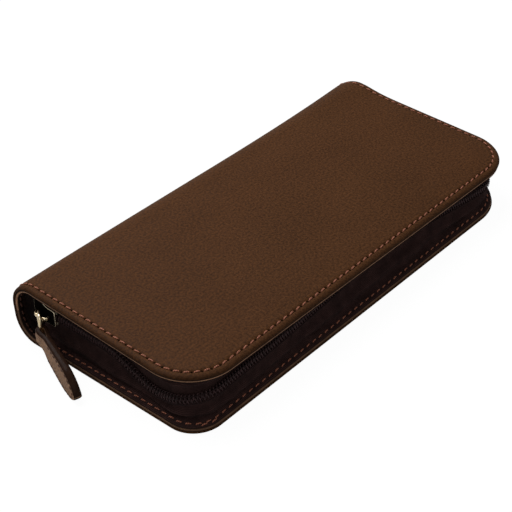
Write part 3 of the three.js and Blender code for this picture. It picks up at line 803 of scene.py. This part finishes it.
# The edge colour darkens the outer leather's rolled rim: partly a burnished edge, partly painted shade.
outer_leather = leather("outer_leather", srgb(44, 25, 11), srgb(74, 46, 25), srgb(26, 15, 9), 0.56, 0.03)
# The pull tab's leather is a lighter copy of the cover leather: partly its own lighter tone, partly painted
# light on the tab's face.
tab_leather = leather("tab_leather", srgb(92, 66, 48), srgb(160, 126, 100), srgb(96, 66, 44), 0.5, 0.04)
# Lining tones darkened to paint part of the deep shade inside the pouch; its pale edge colour partly paints a
# highlight on the front cover's cut edge.
lining_leather = leather("lining_leather", srgb(18, 11, 9), srgb(29, 19, 15), srgb(156, 118, 92), 0.6, 0.03)
tape_fabric = woven("zip_tape", srgb(32, 21, 20), srgb(66, 45, 42), 0.55)
# The spine-end cloth is near black, darker than the tape, to paint the deep shade at the spine's ends.
shade_dark_gusset_fabric = woven("shade_dark_gusset_cloth", srgb(14, 9, 8), srgb(30, 20, 18), 0.55)
elastic_fabric = woven("elastic", srgb(16, 14, 13), srgb(40, 36, 34), 0.8)
waxed_thread = thread_material("waxed_thread", srgb(92, 52, 38), srgb(150, 94, 70))
inner_thread = thread_material("inner_thread", srgb(84, 47, 35), srgb(150, 93, 70))
tab_thread = thread_material("tab_thread", srgb(40, 22, 15), srgb(88, 52, 38))
dark_thread = woven("coil_thread", srgb(34, 24, 24), srgb(70, 54, 54), 0.4, 0.7)
metal = plated_metal("pale_gold_plating", srgb(216, 190, 142), srgb(255, 248, 228), 0.5)
slider_metal = plated_metal("lacquered_plating", srgb(9, 7, 6), srgb(244, 228, 196), 0.0, True)
nylon = coil_plastic()
edge_paint = painted_edge()
board = board_material()


# ---- outer leather, linings and boards
def stitch_groove(cover, s):
    """Depth of the stitch groove's floor in a cover's outer face."""
    return cover.layer_depth(0, STITCH_INSET, s) + GROOVE_DEPTH


def covers():
    """Each cover's leather, lining, outer stitches and stiffening board."""
    # Per cover: padding, how far the outer leather's rim is darkened (partly burnished, partly painted shade)
    # and how far the lining's cut edge is lightened (partly its pale core, partly painted highlight).
    for cover, swell, burnish_and_shade, worn in ((back, 0.0, 0.25, 0.3), (front, 0.55, 0.5, 0.9)):
        side = cover.name
        skin = Skin(cover, outer_rows(burnish_and_shade), 0.42, swell).build(side + "_cover_leather", outer_leather)
        hand_over(skin, "outer_leather", None, side + "_leather", "spine_leather")
        spine_blend(skin, cover, SKIN_T / 2)
        lining = Skin(cover, lining_rows(worn), 0.2).build(side + "_cover_lining", lining_leather)
        hand_over(lining, "lining_leather", None, side + "_lining", "spine_lining")
        spine_blend(lining, cover, LINING_MIDDLE)
        groove = functools.partial(stitch_groove, cover)
        outer = cover_stitches(side + "_cover_stitches", cover, groove, 1, waxed_thread)
        ends = ("spine_stitching_near", "spine_stitching_far")
        hand_over(outer, "thread", None, side + "_stitching", *ends)
        spine_blend(outer, cover, 0)
        low, high = box_mm(side + "_board")
        first, last = ((y - OPEN_Y) / cover.along[0] for y in (low[1], high[1]))
        outline = rounded_box(-high[0], high[0], first, last, BOARD_CORNER_R)
        rows = arris(BOARD_SKIN_T + LAYER_GAP, LINING_TOP - LAYER_GAP, 0.12)
        stiff = slab(side + "_stiff_board", outline, rows, cover.place, board)
        hand_over(stiff, "stiff_board", side + "_cover", side + "_board")


# ---- zip wall path
SLIDER_LOW, SLIDER_HIGH = box_mm("slider_body")
SLIDER_AT = (SLIDER_LOW + SLIDER_HIGH) / 2
TRAVEL = np.array(JOINTS["slider_travel"]["axis"], float)
WALL_X = -SLIDER_AT[0]
WALL_Y = OPEN_Y + HALF - WALL_X
WALL_CORNERS = (11, 18.5)
WALL_BOW = 4
WALL_SAMPLE = 0.05
# Heights of the zip's centre line at lengths along the wall: a gentle slope from the slider, a sag before
# the near corner, a rise along the opening edge and a dip at the far corner.
CHAIN_START_Z = SLIDER_AT[2] + (WALL_END_Y - SLIDER_AT[1]) * TRAVEL[2] / TRAVEL[1]
CHAIN_HEIGHTS = ((0, CHAIN_START_Z), (38, 16.3), (53, 10.2), (59, 9.1), (76, 12.4), (95, 13.4), (190, 15.4),
                 (232, 13.4), (262, 12.2), (322, 13.2))
CHAIN_SMOOTHING = 6


def wall_path(step):
    """Plan points along the zip wall, from its near end to its far end, and their lengths, a step apart."""
    near_r, far_r = WALL_CORNERS
    near_x, far_x = near_r - WALL_X, WALL_X - far_r
    points = [(-WALL_X, y) for y in np.arange(WALL_END_Y, WALL_Y + near_r, -WALL_SAMPLE)]
    for a in np.arange(math.pi, 1.5 * math.pi, WALL_SAMPLE / near_r):
        points.append((near_x + near_r * math.cos(a), WALL_Y + near_r + near_r * math.sin(a)))
    long_run = 2 * WALL_X - near_r - far_r
    for t in np.arange(0, 1, WALL_SAMPLE / long_run):
        points.append((near_x + long_run * t, WALL_Y + WALL_BOW * math.sin(math.pi * t ** 1.5) ** 1.5))
    for a in np.arange(1.5 * math.pi, 2 * math.pi, WALL_SAMPLE / far_r):
        points.append((far_x + far_r * math.cos(a), WALL_Y + far_r + far_r * math.sin(a)))
    points += [(WALL_X, y) for y in np.arange(WALL_Y + far_r, WALL_END_Y, WALL_SAMPLE)]
    points = np.array(points)
    length = run_length(points)[-1]
    at = np.linspace(0, length, round(length / step) + 1)
    return at_lengths(points, at), at


class Chain:
    """The zip's centre line in space with its own directions: along it, up the wall and out of the pouch."""

    def __init__(self, step, near_end=WALL_END_Y, far_end=WALL_END_Y):
        plan, at = wall_path(step)
        width = math.ceil(CHAIN_SMOOTHING / step)
        kernel = np.hanning(2 * width + 3)
        lengths, heights = zip(*CHAIN_HEIGHTS)
        padded = np.pad(np.interp(at, lengths, heights), width + 1, mode="reflect", reflect_type="odd")
        height = np.convolve(padded, kernel / kernel.sum(), mode="valid")
        kept = np.where(plan[:, 0] < 0, plan[:, 1] <= near_end, plan[:, 1] <= far_end)
        self.at = at[kept]
        self.points = np.column_stack([plan, height])[kept]
        self.along = tangents(self.points)
        self.up = unit(np.array([0, 0, 1]) - self.along[:, 2:3] * self.along)
        self.out = np.cross(self.along, self.up)

    def offset(self, up, out):
        return self.points + self.up * np.asarray(up)[..., None] + self.out * np.asarray(out)[..., None]


# ---- zip tapes
TAPE_T = 0.45
TAPE_BEHIND = 0.45
TAPE_EDGE = 0.5
# The tape's sewn margin: insets from the cover's edge, and heights over the lining.
INNER_INSET = 2.0
MARGIN = ((0.6, 0.3), (0.9, 0.34), (1.3, 0.38), (1.65, 0.3), (INNER_INSET, 0.2), (2.4, 0.32), (3.0, 0.42))
FOOT_INSETS = (3.7, 4.5)
FOOT_RISE = 0.7
FOOT_FOLD = 1.3
FOLD_LIMITS = (-1.3, 1.8)


def inset_point(cover, plan, inset):
    """Plan points moved square to a cover's edge until they lie at an inset; also their own inset."""
    x = plan[:, 0]
    s = (plan[:, 1] - OPEN_Y) / cover.along[0]
    here, to_middle, to_spine = cover.edge_inset(x, s)
    return x + to_middle * (inset - here), s + to_spine * (inset - here), here


def creases(at, v, seed):
    """Folds of the tape: long ones that run along it at a slant, and short puckers."""
    long_folds = soft_noise([(a / 15 + 0.7 * v, 2.6 * v - a / 40, seed * 7) for a in at], 1)
    puckers = soft_noise([(a / 4.2 - 1.2 * v, 1.7 * v, seed * 3) for a in at], 1)
    return long_folds + 0.35 * puckers


def tape(cover, end, sign, seed):
    """A zip tape: stitched flat to a cover's margin, then up (or down) the wall to the teeth."""
    chain = Chain(0.8)
    plan = chain.points[:, :2]
    columns = []
    for inset, rise in MARGIN:
        x, s, wall_inset = inset_point(cover, plan, inset)
        wobble = 0.3 * soft_noise([(a / 6, 3 * inset, seed) for a in chain.at], 1)
        wobble = wobble * smoothstep(0, 0.6, abs(inset - INNER_INSET))
        columns.append(cover.place(x, s, cover.layer_depth(2, inset, s) + rise + np.abs(wobble)))
    foot_inset = np.clip(wall_inset, *FOOT_INSETS)
    x, s, _ = inset_point(cover, plan, foot_inset)
    foot = cover.place(x, s, cover.layer_depth(2, foot_inset, s) + FOOT_RISE)
    head = chain.offset(-sign * TAPE_EDGE, -TAPE_BEHIND)
    reach = np.abs(head[:, 2] - foot[:, 2])
    corner = bell(plan[:, 0], WALL_CORNERS[0] - WALL_X, 12) * bell(plan[:, 1], WALL_Y + 3, 9)
    for v in np.linspace(0, 1, 17):
        share = np.array([v ** 0.75, v ** 0.75, v])
        free = smoothstep(0.0, 2.4, (1 - v) * reach - 2.3)
        fold = (1.3 + 0.8 * corner) * creases(chain.at, v, seed) * math.sin(math.pi * min(1, v + 0.12))
        fold = np.clip((fold + FOOT_FOLD * bell(v, 0.27, 0.13)) * free, *FOLD_LIMITS)
        columns.append(foot + (head - foot) * share + chain.out * fold[:, None])
    across = run_length(np.stack(columns)).T
    uv = np.stack([across, np.broadcast_to(chain.at[:, None], across.shape)], -1)
    sheet = thick_sheet(end + "_zip_tape_cloth", np.stack(columns, axis=1), TAPE_T, tape_fabric, uv)
    hand_over(sheet, "zip_tape", cover.name + "_cover", end + "_zip_tape")


# ---- zip coils
COIL_PITCH = 1.3
COIL_WIRE_R = 0.27
COIL_HEAD = 0.34
COIL_TAIL = 1.75
COIL_OUT = (-0.05, 1.15)
COIL_FAR_END_Y = WALL_END_Y - 4
TURN_STEPS = 12
SEAM_AT = 1.55
SEAM_R = 0.17


def coil(cover, end, sign, near_end, phase):
    """A moulded coil: one long flattened helix, its heads reaching past the chain's centre line."""
    chain = Chain(COIL_PITCH / TURN_STEPS, near_end, COIL_FAR_END_Y)
    angle = 2 * math.pi * (chain.at / COIL_PITCH + phase)
    squared = np.sign(np.cos(angle)) * np.abs(np.cos(angle)) ** 0.75
    up = sign * ((COIL_HEAD - COIL_TAIL) / 2 + (COIL_HEAD + COIL_TAIL) / 2 * squared)
    out = sum(COIL_OUT) / 2 + (COIL_OUT[1] - COIL_OUT[0]) / 2 * np.sin(angle)
    off_wire = chain.along * 0.2 + chain.out * 0.1 + chain.up * 0.05
    made = loft(end + "_zip_coil", wire_rings(chain.offset(up, out), COIL_WIRE_R, off_wire), [nylon])
    hand_over(made, "zip_coil", cover.name + "_cover", end + "_coil")


def coil_thread(cover, end, sign, near_end):
    """The sewing thread that holds a coil to its tape, dipping between the teeth."""
    chain = Chain(COIL_PITCH / 4, near_end - 0.4, COIL_FAR_END_Y - 0.4)
    dip = 0.1 * np.cos(2 * math.pi * chain.at / COIL_PITCH)
    wire = chain.offset(np.full(len(dip), -sign * SEAM_AT), COIL_OUT[1] + 0.3 + dip)
    made = loft(end + "_coil_thread", wire_rings(wire, SEAM_R, chain.up), [dark_thread])
    hand_over(made, "zip_tape", cover.name + "_cover")


# ---- stops, slider and pull link
CLIP_JAW_T = 1.05


def stops():
    """Metal clips at the slider's end of both tapes, and a block that joins them at the far end."""
    for node, body in (("lower_top_stop", "back_cover"), ("upper_top_stop", "front_cover"),
                       ("bottom_stop", "back_cover")):
        low, high = box_mm(node)
        place = frame_place((low + high) / 2, (0, -1, 0), (0, 0, 1))
        thick, wide, tall = (high - low) / 2
        if node == "bottom_stop":
            block = rounded_box(-wide, wide, -tall, tall, 0.8)
            clip = slab("bottom_stop_clip", block, arris(-thick, thick, 0.5), place, metal)
        else:
            jaw = rounded_box(-wide, wide, -tall, tall, 0.45)
            pieces = [slab("jaw", jaw, arris(z, z + CLIP_JAW_T, 0.3), place, metal)
                      for z in (-thick, thick - CLIP_JAW_T)]
            bridge = rounded_box(-wide * 0.8, wide * 0.8, -0.35, 0.35, 0.2)
            pieces.append(slab("bridge", bridge, arris(-thick + 0.3, thick - 0.3, 0.1), place, metal))
            clip = join(node + "_clip", pieces)
        hand_over(clip, "zip_metal", body, node)


WING = (1.6, 2.4)
LIP_LOW = 0.78
LIP_T = 0.75
MOUTH_HALF = 4.8
TAIL_HALF = 3.4
SLIDER_HALF = 5.5
SLIDER_CORNER_R = 0.9
POST_X = (-5.0, -2.8)
BAIL_HALF = 2.95
BAIL_TOP = 4.75
BAIL_R = 1.25


def wedge():
    """One side of the slider's outline: a wide rounded mouth at -x, a smooth shoulder, a narrow tail."""
    r = SLIDER_CORNER_R
    side = []
    for a in np.radians(np.linspace(180, 90, 5)):
        side.append((-SLIDER_HALF + r + r * math.cos(a), MOUTH_HALF - r + r * math.sin(a)))
    for t in np.linspace(0.1, 0.9, 7):
        share = t * t * (3 - 2 * t)
        narrowed = MOUTH_HALF + (TAIL_HALF - MOUTH_HALF) * share
        side.append((-SLIDER_HALF * 0.5 + t * SLIDER_HALF * 0.95, narrowed))
    for a in np.radians(np.linspace(90, 0, 5)):
        side.append((SLIDER_HALF - r + r * math.cos(a), TAIL_HALF - r + r * math.sin(a)))
    return side


def slider():
    """Two wings joined by a post, with lips that close over the coils, and the bail on the outer wing."""
    up = np.cross((-1, 0, 0), TRAVEL)
    place = frame_place(SLIDER_AT, TRAVEL, up if up[2] > 0 else -up)
    outline = wedge()
    plate = [(x, -y) for x, y in outline] + outline[::-1]
    pieces = []
    for side in (1, -1):
        low, high = sorted((WING[0] * side, WING[1] * side))
        pieces.append(slab("wing", plate, arris(low, high, 0.24), place, slider_metal))
        low, high = sorted((LIP_LOW * side, (WING[0] + 0.2) * side))
        for edge in (1, -1):
            lip = [(x * 0.97, y * edge) for x, y in outline]
            strip = lip + [(x, y - LIP_T * edge) for x, y in lip[::-1]]
            pieces.append(slab("lip", strip[::-edge], ((0, low), (0, high)), place, metal))
    post = rounded_box(*POST_X, -0.36, 0.36, 0.3)
    pieces.append(slab("post", post, ((0, -WING[0] - 0.2), (0, WING[0] + 0.2)), place, metal))
    hand_over(join("zip_slider", pieces), "zip_metal", "slider", "slider_body")

    arch = [(-BAIL_HALF, 0, WING[1] - 0.1), (-BAIL_HALF, 0, WING[1] + 0.6)]
    for a in np.radians(np.linspace(180, 90, 7)):
        arch.append((-BAIL_HALF + BAIL_R + BAIL_R * math.cos(a), 0, BAIL_TOP - BAIL_R + BAIL_R * math.sin(a)))
    arch = np.array(arch + [(-x, y, z) for x, y, z in arch[::-1]])
    along = tangents(arch)
    outer = np.stack([-along[:, 2], np.zeros(len(arch)), along[:, 0]], -1)
    section = rounded_box(-0.75, 0.75, -0.42, 0.42, 0.32, 4)
    flare = 1 + 0.25 * bell(arch[:, 0], 0, 1.6)
    rings = (arch[:, None] + section[None, :, :1] * flare[:, None, None] * np.array([0, 1, 0])
             + section[None, :, 1:] * outer[:, None])
    bail = loft("slider_bridge", place(rings[..., 0], rings[..., 1], rings[..., 2]), [metal])
    hand_over(bail, "zip_metal", "slider", "slider_bail")


LINK_PIVOT = pivot_mm("pull_link_swing")
TAB_PIVOT = pivot_mm("pull_tab_swing")
LINK_ALONG = unit((TAB_PIVOT - LINK_PIVOT) * (1, 1, 0))
LINK_REACH = float(np.linalg.norm((TAB_PIVOT - LINK_PIVOT)[:2]))
LINK_LOW, LINK_HIGH = box_mm("pull_link")
LINK_SAMPLE = 0.6
WIRE_R = 0.84


def pull_link():
    """The wire loop that joins the slider's bail to the tab."""
    place = frame_place((LINK_PIVOT[0], LINK_PIVOT[1], 0), LINK_ALONG, (0, 0, 1))
    outline = rounded_box(0, LINK_REACH, LINK_LOW[2] + WIRE_R, LINK_HIGH[2] - WIRE_R, 1.3, 7)
    points = []
    for first, second in zip(outline, np.roll(outline, -1, axis=0)):
        count = max(1, round(np.linalg.norm(second - first) / LINK_SAMPLE))
        points += [first + (second - first) * k / count for k in range(count)]
    points = np.array(points)
    wire = place(points[:, 0], points[:, 1], 0)
    rings = wire_rings(wire, WIRE_R, np.cross(LINK_ALONG, (0, 0, 1)), 12, closed=True)
    hand_over(loft("pull_link_wire", rings, [metal], closed=True), "zip_metal", "pull_link", "pull_link")


# ---- pull tab
TAB_ALONG = unit(np.array([-0.298, -0.926, -0.232]))
TAB_ACROSS = unit(np.array([0, 0, 1]) - TAB_ALONG[2] * TAB_ALONG)
TAB_REACH = 29.6
TAB_LAYER_T = 1.5
TAB_GAP = 0.005
TAB_NECK = 2.9
TAB_NECK_END = 9
TAB_BELLY = 5.8
TAB_BELLY_AT = 19
TAB_HANG = 1.2
TAB_STITCH_INSET = 1.45
TAB_STITCH_PITCH = 2.3
LOOP_CENTRE_R = 1.6
# The tab's rounded edge: distances in from its side, and below its outer face.
EDGE_STEPS = ((0.03, 0.95), (0.12, 0.6), (0.27, 0.3), (0.45, 0.1), (0.68, 0.0), (1.1, 0.04), (1.45, 0.15),
              (1.8, 0.04), (2.2, 0.0))


def tab_half_width(x):
    x = np.asarray(x, float)
    swell = 0.7 * smoothstep(0.5, TAB_NECK_END, x) + 0.3 * smoothstep(5, TAB_BELLY_AT, x)
    past = np.clip((x - TAB_BELLY_AT) / (TAB_REACH - TAB_BELLY_AT), 0, 1)
    return (TAB_NECK + (TAB_BELLY - TAB_NECK) * swell) * (1 - past ** 2.3) ** 0.55


def tab_hang(x):
    """How far the tab's middle line hangs below the link's bar."""
    return TAB_HANG * smoothstep(1, TAB_NECK_END, x)


def tab_path():
    """The strip's middle line in the tab's (x, z) plane: in from the tip, round the bar and out again."""
    flat_z = TAB_LAYER_T / 2 + TAB_GAP
    far = TAB_REACH - (TAB_REACH - TAB_NECK_END) * (1 - np.cos(np.linspace(0, math.pi / 2, 26)))
    upper = [(x, flat_z) for x in far]
    for x in np.arange(8.3, 0.3, -0.7):
        upper.append((x, flat_z + (LOOP_CENTRE_R - flat_z) * float(1 - smoothstep(0, 5, x))))
    for a in np.linspace(math.pi / 2, math.pi, 9):
        upper.append((LOOP_CENTRE_R * math.cos(a), LOOP_CENTRE_R * math.sin(a)))
    return np.array(upper[:-1] + [(x, -z) for x, z in upper[::-1]])


def pull_tab():
    """One leather strip folded round the link's bar, its two layers sewn together and edge-painted."""
    place = frame_place(TAB_PIVOT, TAB_ALONG, TAB_ACROSS)
    path = tab_path()
    along = tangents(path)
    outer = np.stack([along[:, 1], -along[:, 0]], -1)
    width = np.maximum(tab_half_width(np.clip(path[:, 0], 0, TAB_REACH)), 0.12)
    shrink = np.minimum(1, width / 2.6)
    half = TAB_LAYER_T / 2
    side = [width - inset * shrink for inset, _ in EDGE_STEPS]
    face = [half - drop * np.minimum(1, shrink + 0.2) for _, drop in EDGE_STEPS]
    across = side + [np.zeros(len(path))] + [-a for a in side[::-1]]
    normal = face + [np.full(len(path), half + 0.06)] + face[::-1]
    for sign, inset in ((-1, 0.0), (-1, 1.5), (1, 1.5), (1, 0.0)):
        across.append(sign * (width - inset * shrink))
        normal.append(np.full(len(path), -half))
    across, normal = np.stack(across, 1), np.stack(normal, 1)
    x = path[:, :1] + outer[:, :1] * normal
    z = path[:, 1:] + outer[:, 1:] * normal
    uv = np.stack([across, np.broadcast_to(run_length(path)[:, None], across.shape)], -1)
    masks = {"wear_and_painted_light": bell(across / width[:, None], 1, 0.12) * 0.3}
    rings = place(x, across - tab_hang(path[:, :1]), z)
    made = loft("leather_pull_tab", rings, [tab_leather, edge_paint], uv, masks)
    count = across.shape[1]
    last_edge = 2 * len(EDGE_STEPS)
    painted = {0, 1, 2, 3, count - 1, *range(last_edge - 3, last_edge + 1)}
    for index, polygon in enumerate(made.data.polygons):
        if len(polygon.vertices) == 4 and index % count in painted:
            polygon.material_index = 1
    hand_over(sharpen(made, 60), "outer_leather", "pull_tab", "pull_tab")
    tab_stitches(place)


def tab_stitches(place):
    """A row of stitches on each face of the tab, round its sides and tip."""
    xs = np.linspace(7, TAB_REACH, 400)
    edge = np.stack([xs, tab_half_width(xs)], -1)
    edge = np.concatenate([edge, (edge * (1, -1))[::-1]])
    tangent = unit(np.gradient(edge, axis=0) + 1e-9)
    line = edge + np.stack([tangent[:, 1], -tangent[:, 0]], -1) * TAB_STITCH_INSET
    line = line[line[:, 0] < TAB_REACH - TAB_STITCH_INSET + 0.01]
    at = np.arange(TAB_STITCH_PITCH / 2, run_length(line)[-1], TAB_STITCH_PITCH)
    centre, ahead = at_lengths(line, at), at_lengths(line, at + 0.3)
    for side, name in ((1, "tab_stitches_outer"), (-1, "tab_stitches_inner")):
        z = side * (TAB_LAYER_T + TAB_GAP - 0.14)
        here, there = (place(p[:, 0], p[:, 1] - tab_hang(p[:, 0]), z) for p in (centre, ahead))
        normals = np.broadcast_to(np.cross(TAB_ALONG, TAB_ACROSS) * side, here.shape)
        row = stitch_row(name, here, unit(there - here), normals, tab_thread, (1.6, 0.6, 0.42))
        hand_over(row, "thread", "pull_tab", "pull_tab_stitching")


# ---- spine end gussets
def gussets():
    """Soft folded fabric that closes each end of the spine, behind the ends of the zip."""
    for end, side in (("near", -1), ("far", 1)):
        low, high = box_mm(end + "_end_gusset")
        u = np.linspace(0, 1, 22)[:, None]
        v = np.linspace(0, 1, 30)[None, :]
        y = low[1] + (high[1] - low[1]) * u + 0 * v
        half_z = (high[2] - low[2]) / 2 * (1 - 0.22 * u ** 2)
        z = (low[2] + high[2]) / 2 + 0.6 + half_z * (2 * v - 1)
        fold = 0.9 * np.sin(math.pi * v) * np.sin(math.pi * u) + 0.25 * np.sin(9 * v + 3 * u)
        grid = np.stack([side * (WALL_X - fold), y, z], -1)
        sheet = thick_sheet(end + "_shade_dark_gusset_cloth", grid, 0.5, shade_dark_gusset_fabric, np.stack([z, y], -1))
        hand_over(sheet, "zip_tape", "spine", end + "_end_gusset")


# ---- interior: pen loops and slip pocket
LOOP_COUNT = 6
ELASTIC_T = 0.9
LOOP_FOOT = 0.8
LOOP_SEAM_INSET = 1


def pen_loops():
    """A leather strip sewn to the back lining, with an elastic band that arches over each pen's place."""
    low, high = box_mm("pen_loop_base")
    flat = frame_place((0, 0, 0), (1, 0, 0), (0, 1, 0))
    outline = rounded_box(low[0], high[0], low[1], high[1], 2.5)
    strip = slab("pen_loop_strip", outline, arris(low[2] - 0.1, high[2], 0.3), flat, lining_leather)
    hand_over(strip, "lining_leather", "back_cover", "pen_loop_base")

    low, high = box_mm("pen_loop_band")
    half = high[0]
    pitch = 2 * half / LOOP_COUNT
    r = high[2] - low[2] - ELASTIC_T - LOOP_FOOT
    base = low[2] + ELASTIC_T / 2
    path = []
    for k in range(LOOP_COUNT):
        centre = -half + (k + 0.5) * pitch
        path += [(centre - pitch / 2, base), (centre - r - 0.9, base)]
        for a in np.radians(np.linspace(168, 12, 17)):
            path.append((centre + r * math.cos(a), base + LOOP_FOOT + r * math.sin(a)))
        path += [(centre + r + 0.9, base)]
    path = np.array(path + [(half, base)])
    v = np.linspace(low[1], high[1], 13)
    z = path[:, 1:] + 0.12 * bell(v, 0, 5)[None] * (path[:, 1:] > base + 1)
    x, y, run = (np.broadcast_to(part, z.shape) for part in (path[:, :1], v, run_length(path)[:, None]))
    band = thick_sheet("pen_loop_elastic", np.stack([x, y, z], -1), ELASTIC_T, elastic_fabric,
                       np.stack([y, run], -1))
    hand_over(band, "elastic", "back_cover", "pen_loop_band")

    centres = []
    for k in range(LOOP_COUNT + 1):
        x = min(max(-half + k * pitch, -half + LOOP_SEAM_INSET), half - LOOP_SEAM_INSET)
        centres += [(x, y, base + ELASTIC_T / 2 + 0.05) for y in np.arange(low[1] + 1.6, high[1] - 1, 2.6)]
    centres = np.array(centres)
    alongs, normals = (np.broadcast_to(axis, centres.shape) for axis in ((0.0, 1.0, 0.0), (0.0, 0.0, 1.0)))
    row = stitch_row("pen_loop_stitches", centres, alongs, normals, waxed_thread, (1.8, 0.55, 0.4))
    hand_over(row, "thread", "back_cover")


POCKET_DEPTH = (3.15, 4.05)
POCKET_INSET = 14
POCKET_TOP = 6
POCKET_SEAM_INSET = 2.3
POCKET_STITCH_PITCH = 3.0


def slip_pocket():
    """A flat leather pocket sewn inside the front cover on three sides; its mouth faces the spine."""
    reach = HALF - POCKET_INSET
    top = front.flat - POCKET_TOP
    outline = rounded_box(-reach, reach, POCKET_INSET, top, 4, 8)
    sheet = slab("slip_pocket_leather", outline, arris(*POCKET_DEPTH, 0.3), front.place, lining_leather)
    hand_over(sheet, "lining_leather", "front_cover", "slip_pocket")

    side = reach - POCKET_SEAM_INSET
    seam = rounded_box(-side, side, POCKET_INSET + POCKET_SEAM_INSET, top + 30, 3, 8)
    seam = np.concatenate([seam, seam[:1]])
    at = np.arange(POCKET_STITCH_PITCH / 2, run_length(seam)[-1], POCKET_STITCH_PITCH)
    here, ahead = at_lengths(seam, at), at_lengths(seam, at + 0.2)
    kept = (here[:, 1] < top - 1.5) & (ahead[:, 1] < top - 1)
    depth = np.full(kept.sum(), POCKET_DEPTH[1] + 0.02)
    centres, there = (front.place(p[:, 0], p[:, 1], depth) for p in (here[kept], ahead[kept]))
    normals = np.broadcast_to((0, *-front.normal), centres.shape)
    row = stitch_row("slip_pocket_stitches", centres, unit(there - centres), normals, waxed_thread,
                     (2.0, 0.6, 0.42))
    hand_over(row, "thread", "front_cover", "slip_pocket_stitching")


# ---- stitches seen from inside
OVERLAP_STITCHES = 2
OVERLAP_INSET = 1.15


def inner_seam(cover, s):
    """Depth of the inner stitches: on the tape along the margins, on the lining round the spine."""
    over = np.where(s < (WALL_END_Y - OPEN_Y) / cover.along[0], 0.2 + TAPE_T / 2, 0.04 - GROOVE_DEPTH)
    return cover.layer_depth(2, INNER_INSET, s) + over


def inner_stitches():
    """The same seams seen from inside, and the short overlap where the lower one starts and ends."""
    for cover in (back, front):
        seam = functools.partial(inner_seam, cover)
        row = cover_stitches(cover.name + "_inner_stitches", cover, seam, -1, inner_thread, INNER_INSET)
        hand_over(row, "thread", None)
        spine_blend(row, cover, LINING_MIDDLE)
    row = cover_stitches("back_overlap_stitches", back, functools.partial(inner_seam, back), -1,
                         inner_thread, OVERLAP_INSET, OVERLAP_STITCHES)
    hand_over(row, "thread", "back_cover")


UPPER_COIL_END_Y = SLIDER_AT[1] - SLIDER_HALF - 0.3
covers()
inner_stitches()
tape(back, "lower", 1, 1)
tape(front, "upper", -1, 2)
coil(back, "lower", 1, WALL_END_Y, 0.0)
coil(front, "upper", -1, UPPER_COIL_END_Y, 0.5)
coil_thread(back, "lower", 1, WALL_END_Y)
coil_thread(front, "upper", -1, UPPER_COIL_END_Y)
stops()
slider()
pull_link()
pull_tab()
gussets()
pen_loops()
slip_pocket()


# ---- stage, light and camera
CAMERA_AT = (-317.2, -290.7, 319.4)
CAMERA_YAW = 43.9
CAMERA_PITCH = 36.25
CAMERA_ROLL = -3.34
CAMERA_LENS = 96.2
FLOOR_SIZE = 6000
FLOOR_DROP = 0.02
FLOOR_POINTS = 25
WORLD_LIGHT = 0.5


def camera():
    data = bpy.data.cameras.new("camera")
    data.lens = CAMERA_LENS
    data.sensor_width = 36
    made = bpy.data.objects.new("camera", data)
    bpy.context.scene.collection.objects.link(made)
    yaw, pitch, roll = (math.radians(v) for v in (CAMERA_YAW, CAMERA_PITCH, CAMERA_ROLL))
    level = Vector((math.sin(yaw), -math.cos(yaw), 0))
    look = Vector((math.cos(yaw) * math.cos(pitch), math.sin(yaw) * math.cos(pitch), -math.sin(pitch)))
    over = level.cross(look)
    right = level * math.cos(roll) + over * math.sin(roll)
    above = over * math.cos(roll) - level * math.sin(roll)
    turn = Matrix((right, above, -look)).transposed().to_4x4()
    made.matrix_world = Matrix.Translation(Vector(CAMERA_AT) * MM) @ turn
    bpy.context.scene.camera = made


def area_light(name, at, aim, size, power):
    """A square soft light, in metres and watts."""
    data = bpy.data.lights.new(name, "AREA")
    data.shape = "RECTANGLE"
    data.size = data.size_y = size
    data.energy = power
    made = bpy.data.objects.new(name, data)
    bpy.context.scene.collection.objects.link(made)
    made.location = at
    made.rotation_euler = (Vector(aim) - Vector(at)).to_track_quat("-Z", "Y").to_euler()


def stage():
    """A pale floor that the camera sees as plain white, a soft white world and two lights."""
    span = np.linspace(-FLOOR_SIZE / 2, FLOOR_SIZE / 2, FLOOR_POINTS)
    x, y = np.meshgrid(span, span)
    points = np.stack([x, y, np.full_like(x, -FLOOR_DROP)], -1)
    shade = Shader("floor", 0.9, 0.0, "Object")
    seen = shade.node("LightPath").outputs["Is Camera Ray"]
    shade.set(Base_Color=shade.mix(seen, (0.45, 0.45, 0.45), (0.05, 0.05, 0.05)), Specular_IOR_Level=0.0,
              Emission_Color=(1, 1, 1, 1), Emission_Strength=shade.times(seen, 0.96))
    faces = grid_faces(np.arange(FLOOR_POINTS ** 2).reshape(FLOOR_POINTS, -1))
    add_mesh("floor", points, faces, [shade.material])
    world = bpy.data.worlds.new("world")
    world.use_nodes = True
    tree = world.node_tree
    background = tree.nodes["Background"]
    background.inputs["Color"].default_value = (1, 1, 1, 1)
    paths = tree.nodes.new("ShaderNodeLightPath")
    strength = tree.nodes.new("ShaderNodeMapRange")
    strength.inputs["To Min"].default_value = WORLD_LIGHT
    tree.links.new(paths.outputs["Is Camera Ray"], strength.inputs["Value"])
    tree.links.new(strength.outputs[0], background.inputs["Strength"])
    bpy.context.scene.world = world
    area_light("key", (0.0, 0.26, 0.46), (0, 0.02, 0), 0.45, 3.5)
    area_light("fill", (-0.5, -1.0, 0.6), (0, 0, 0.01), 0.8, 1.5)
    bpy.context.scene.view_settings.view_transform = "Standard"


stage()
camera()
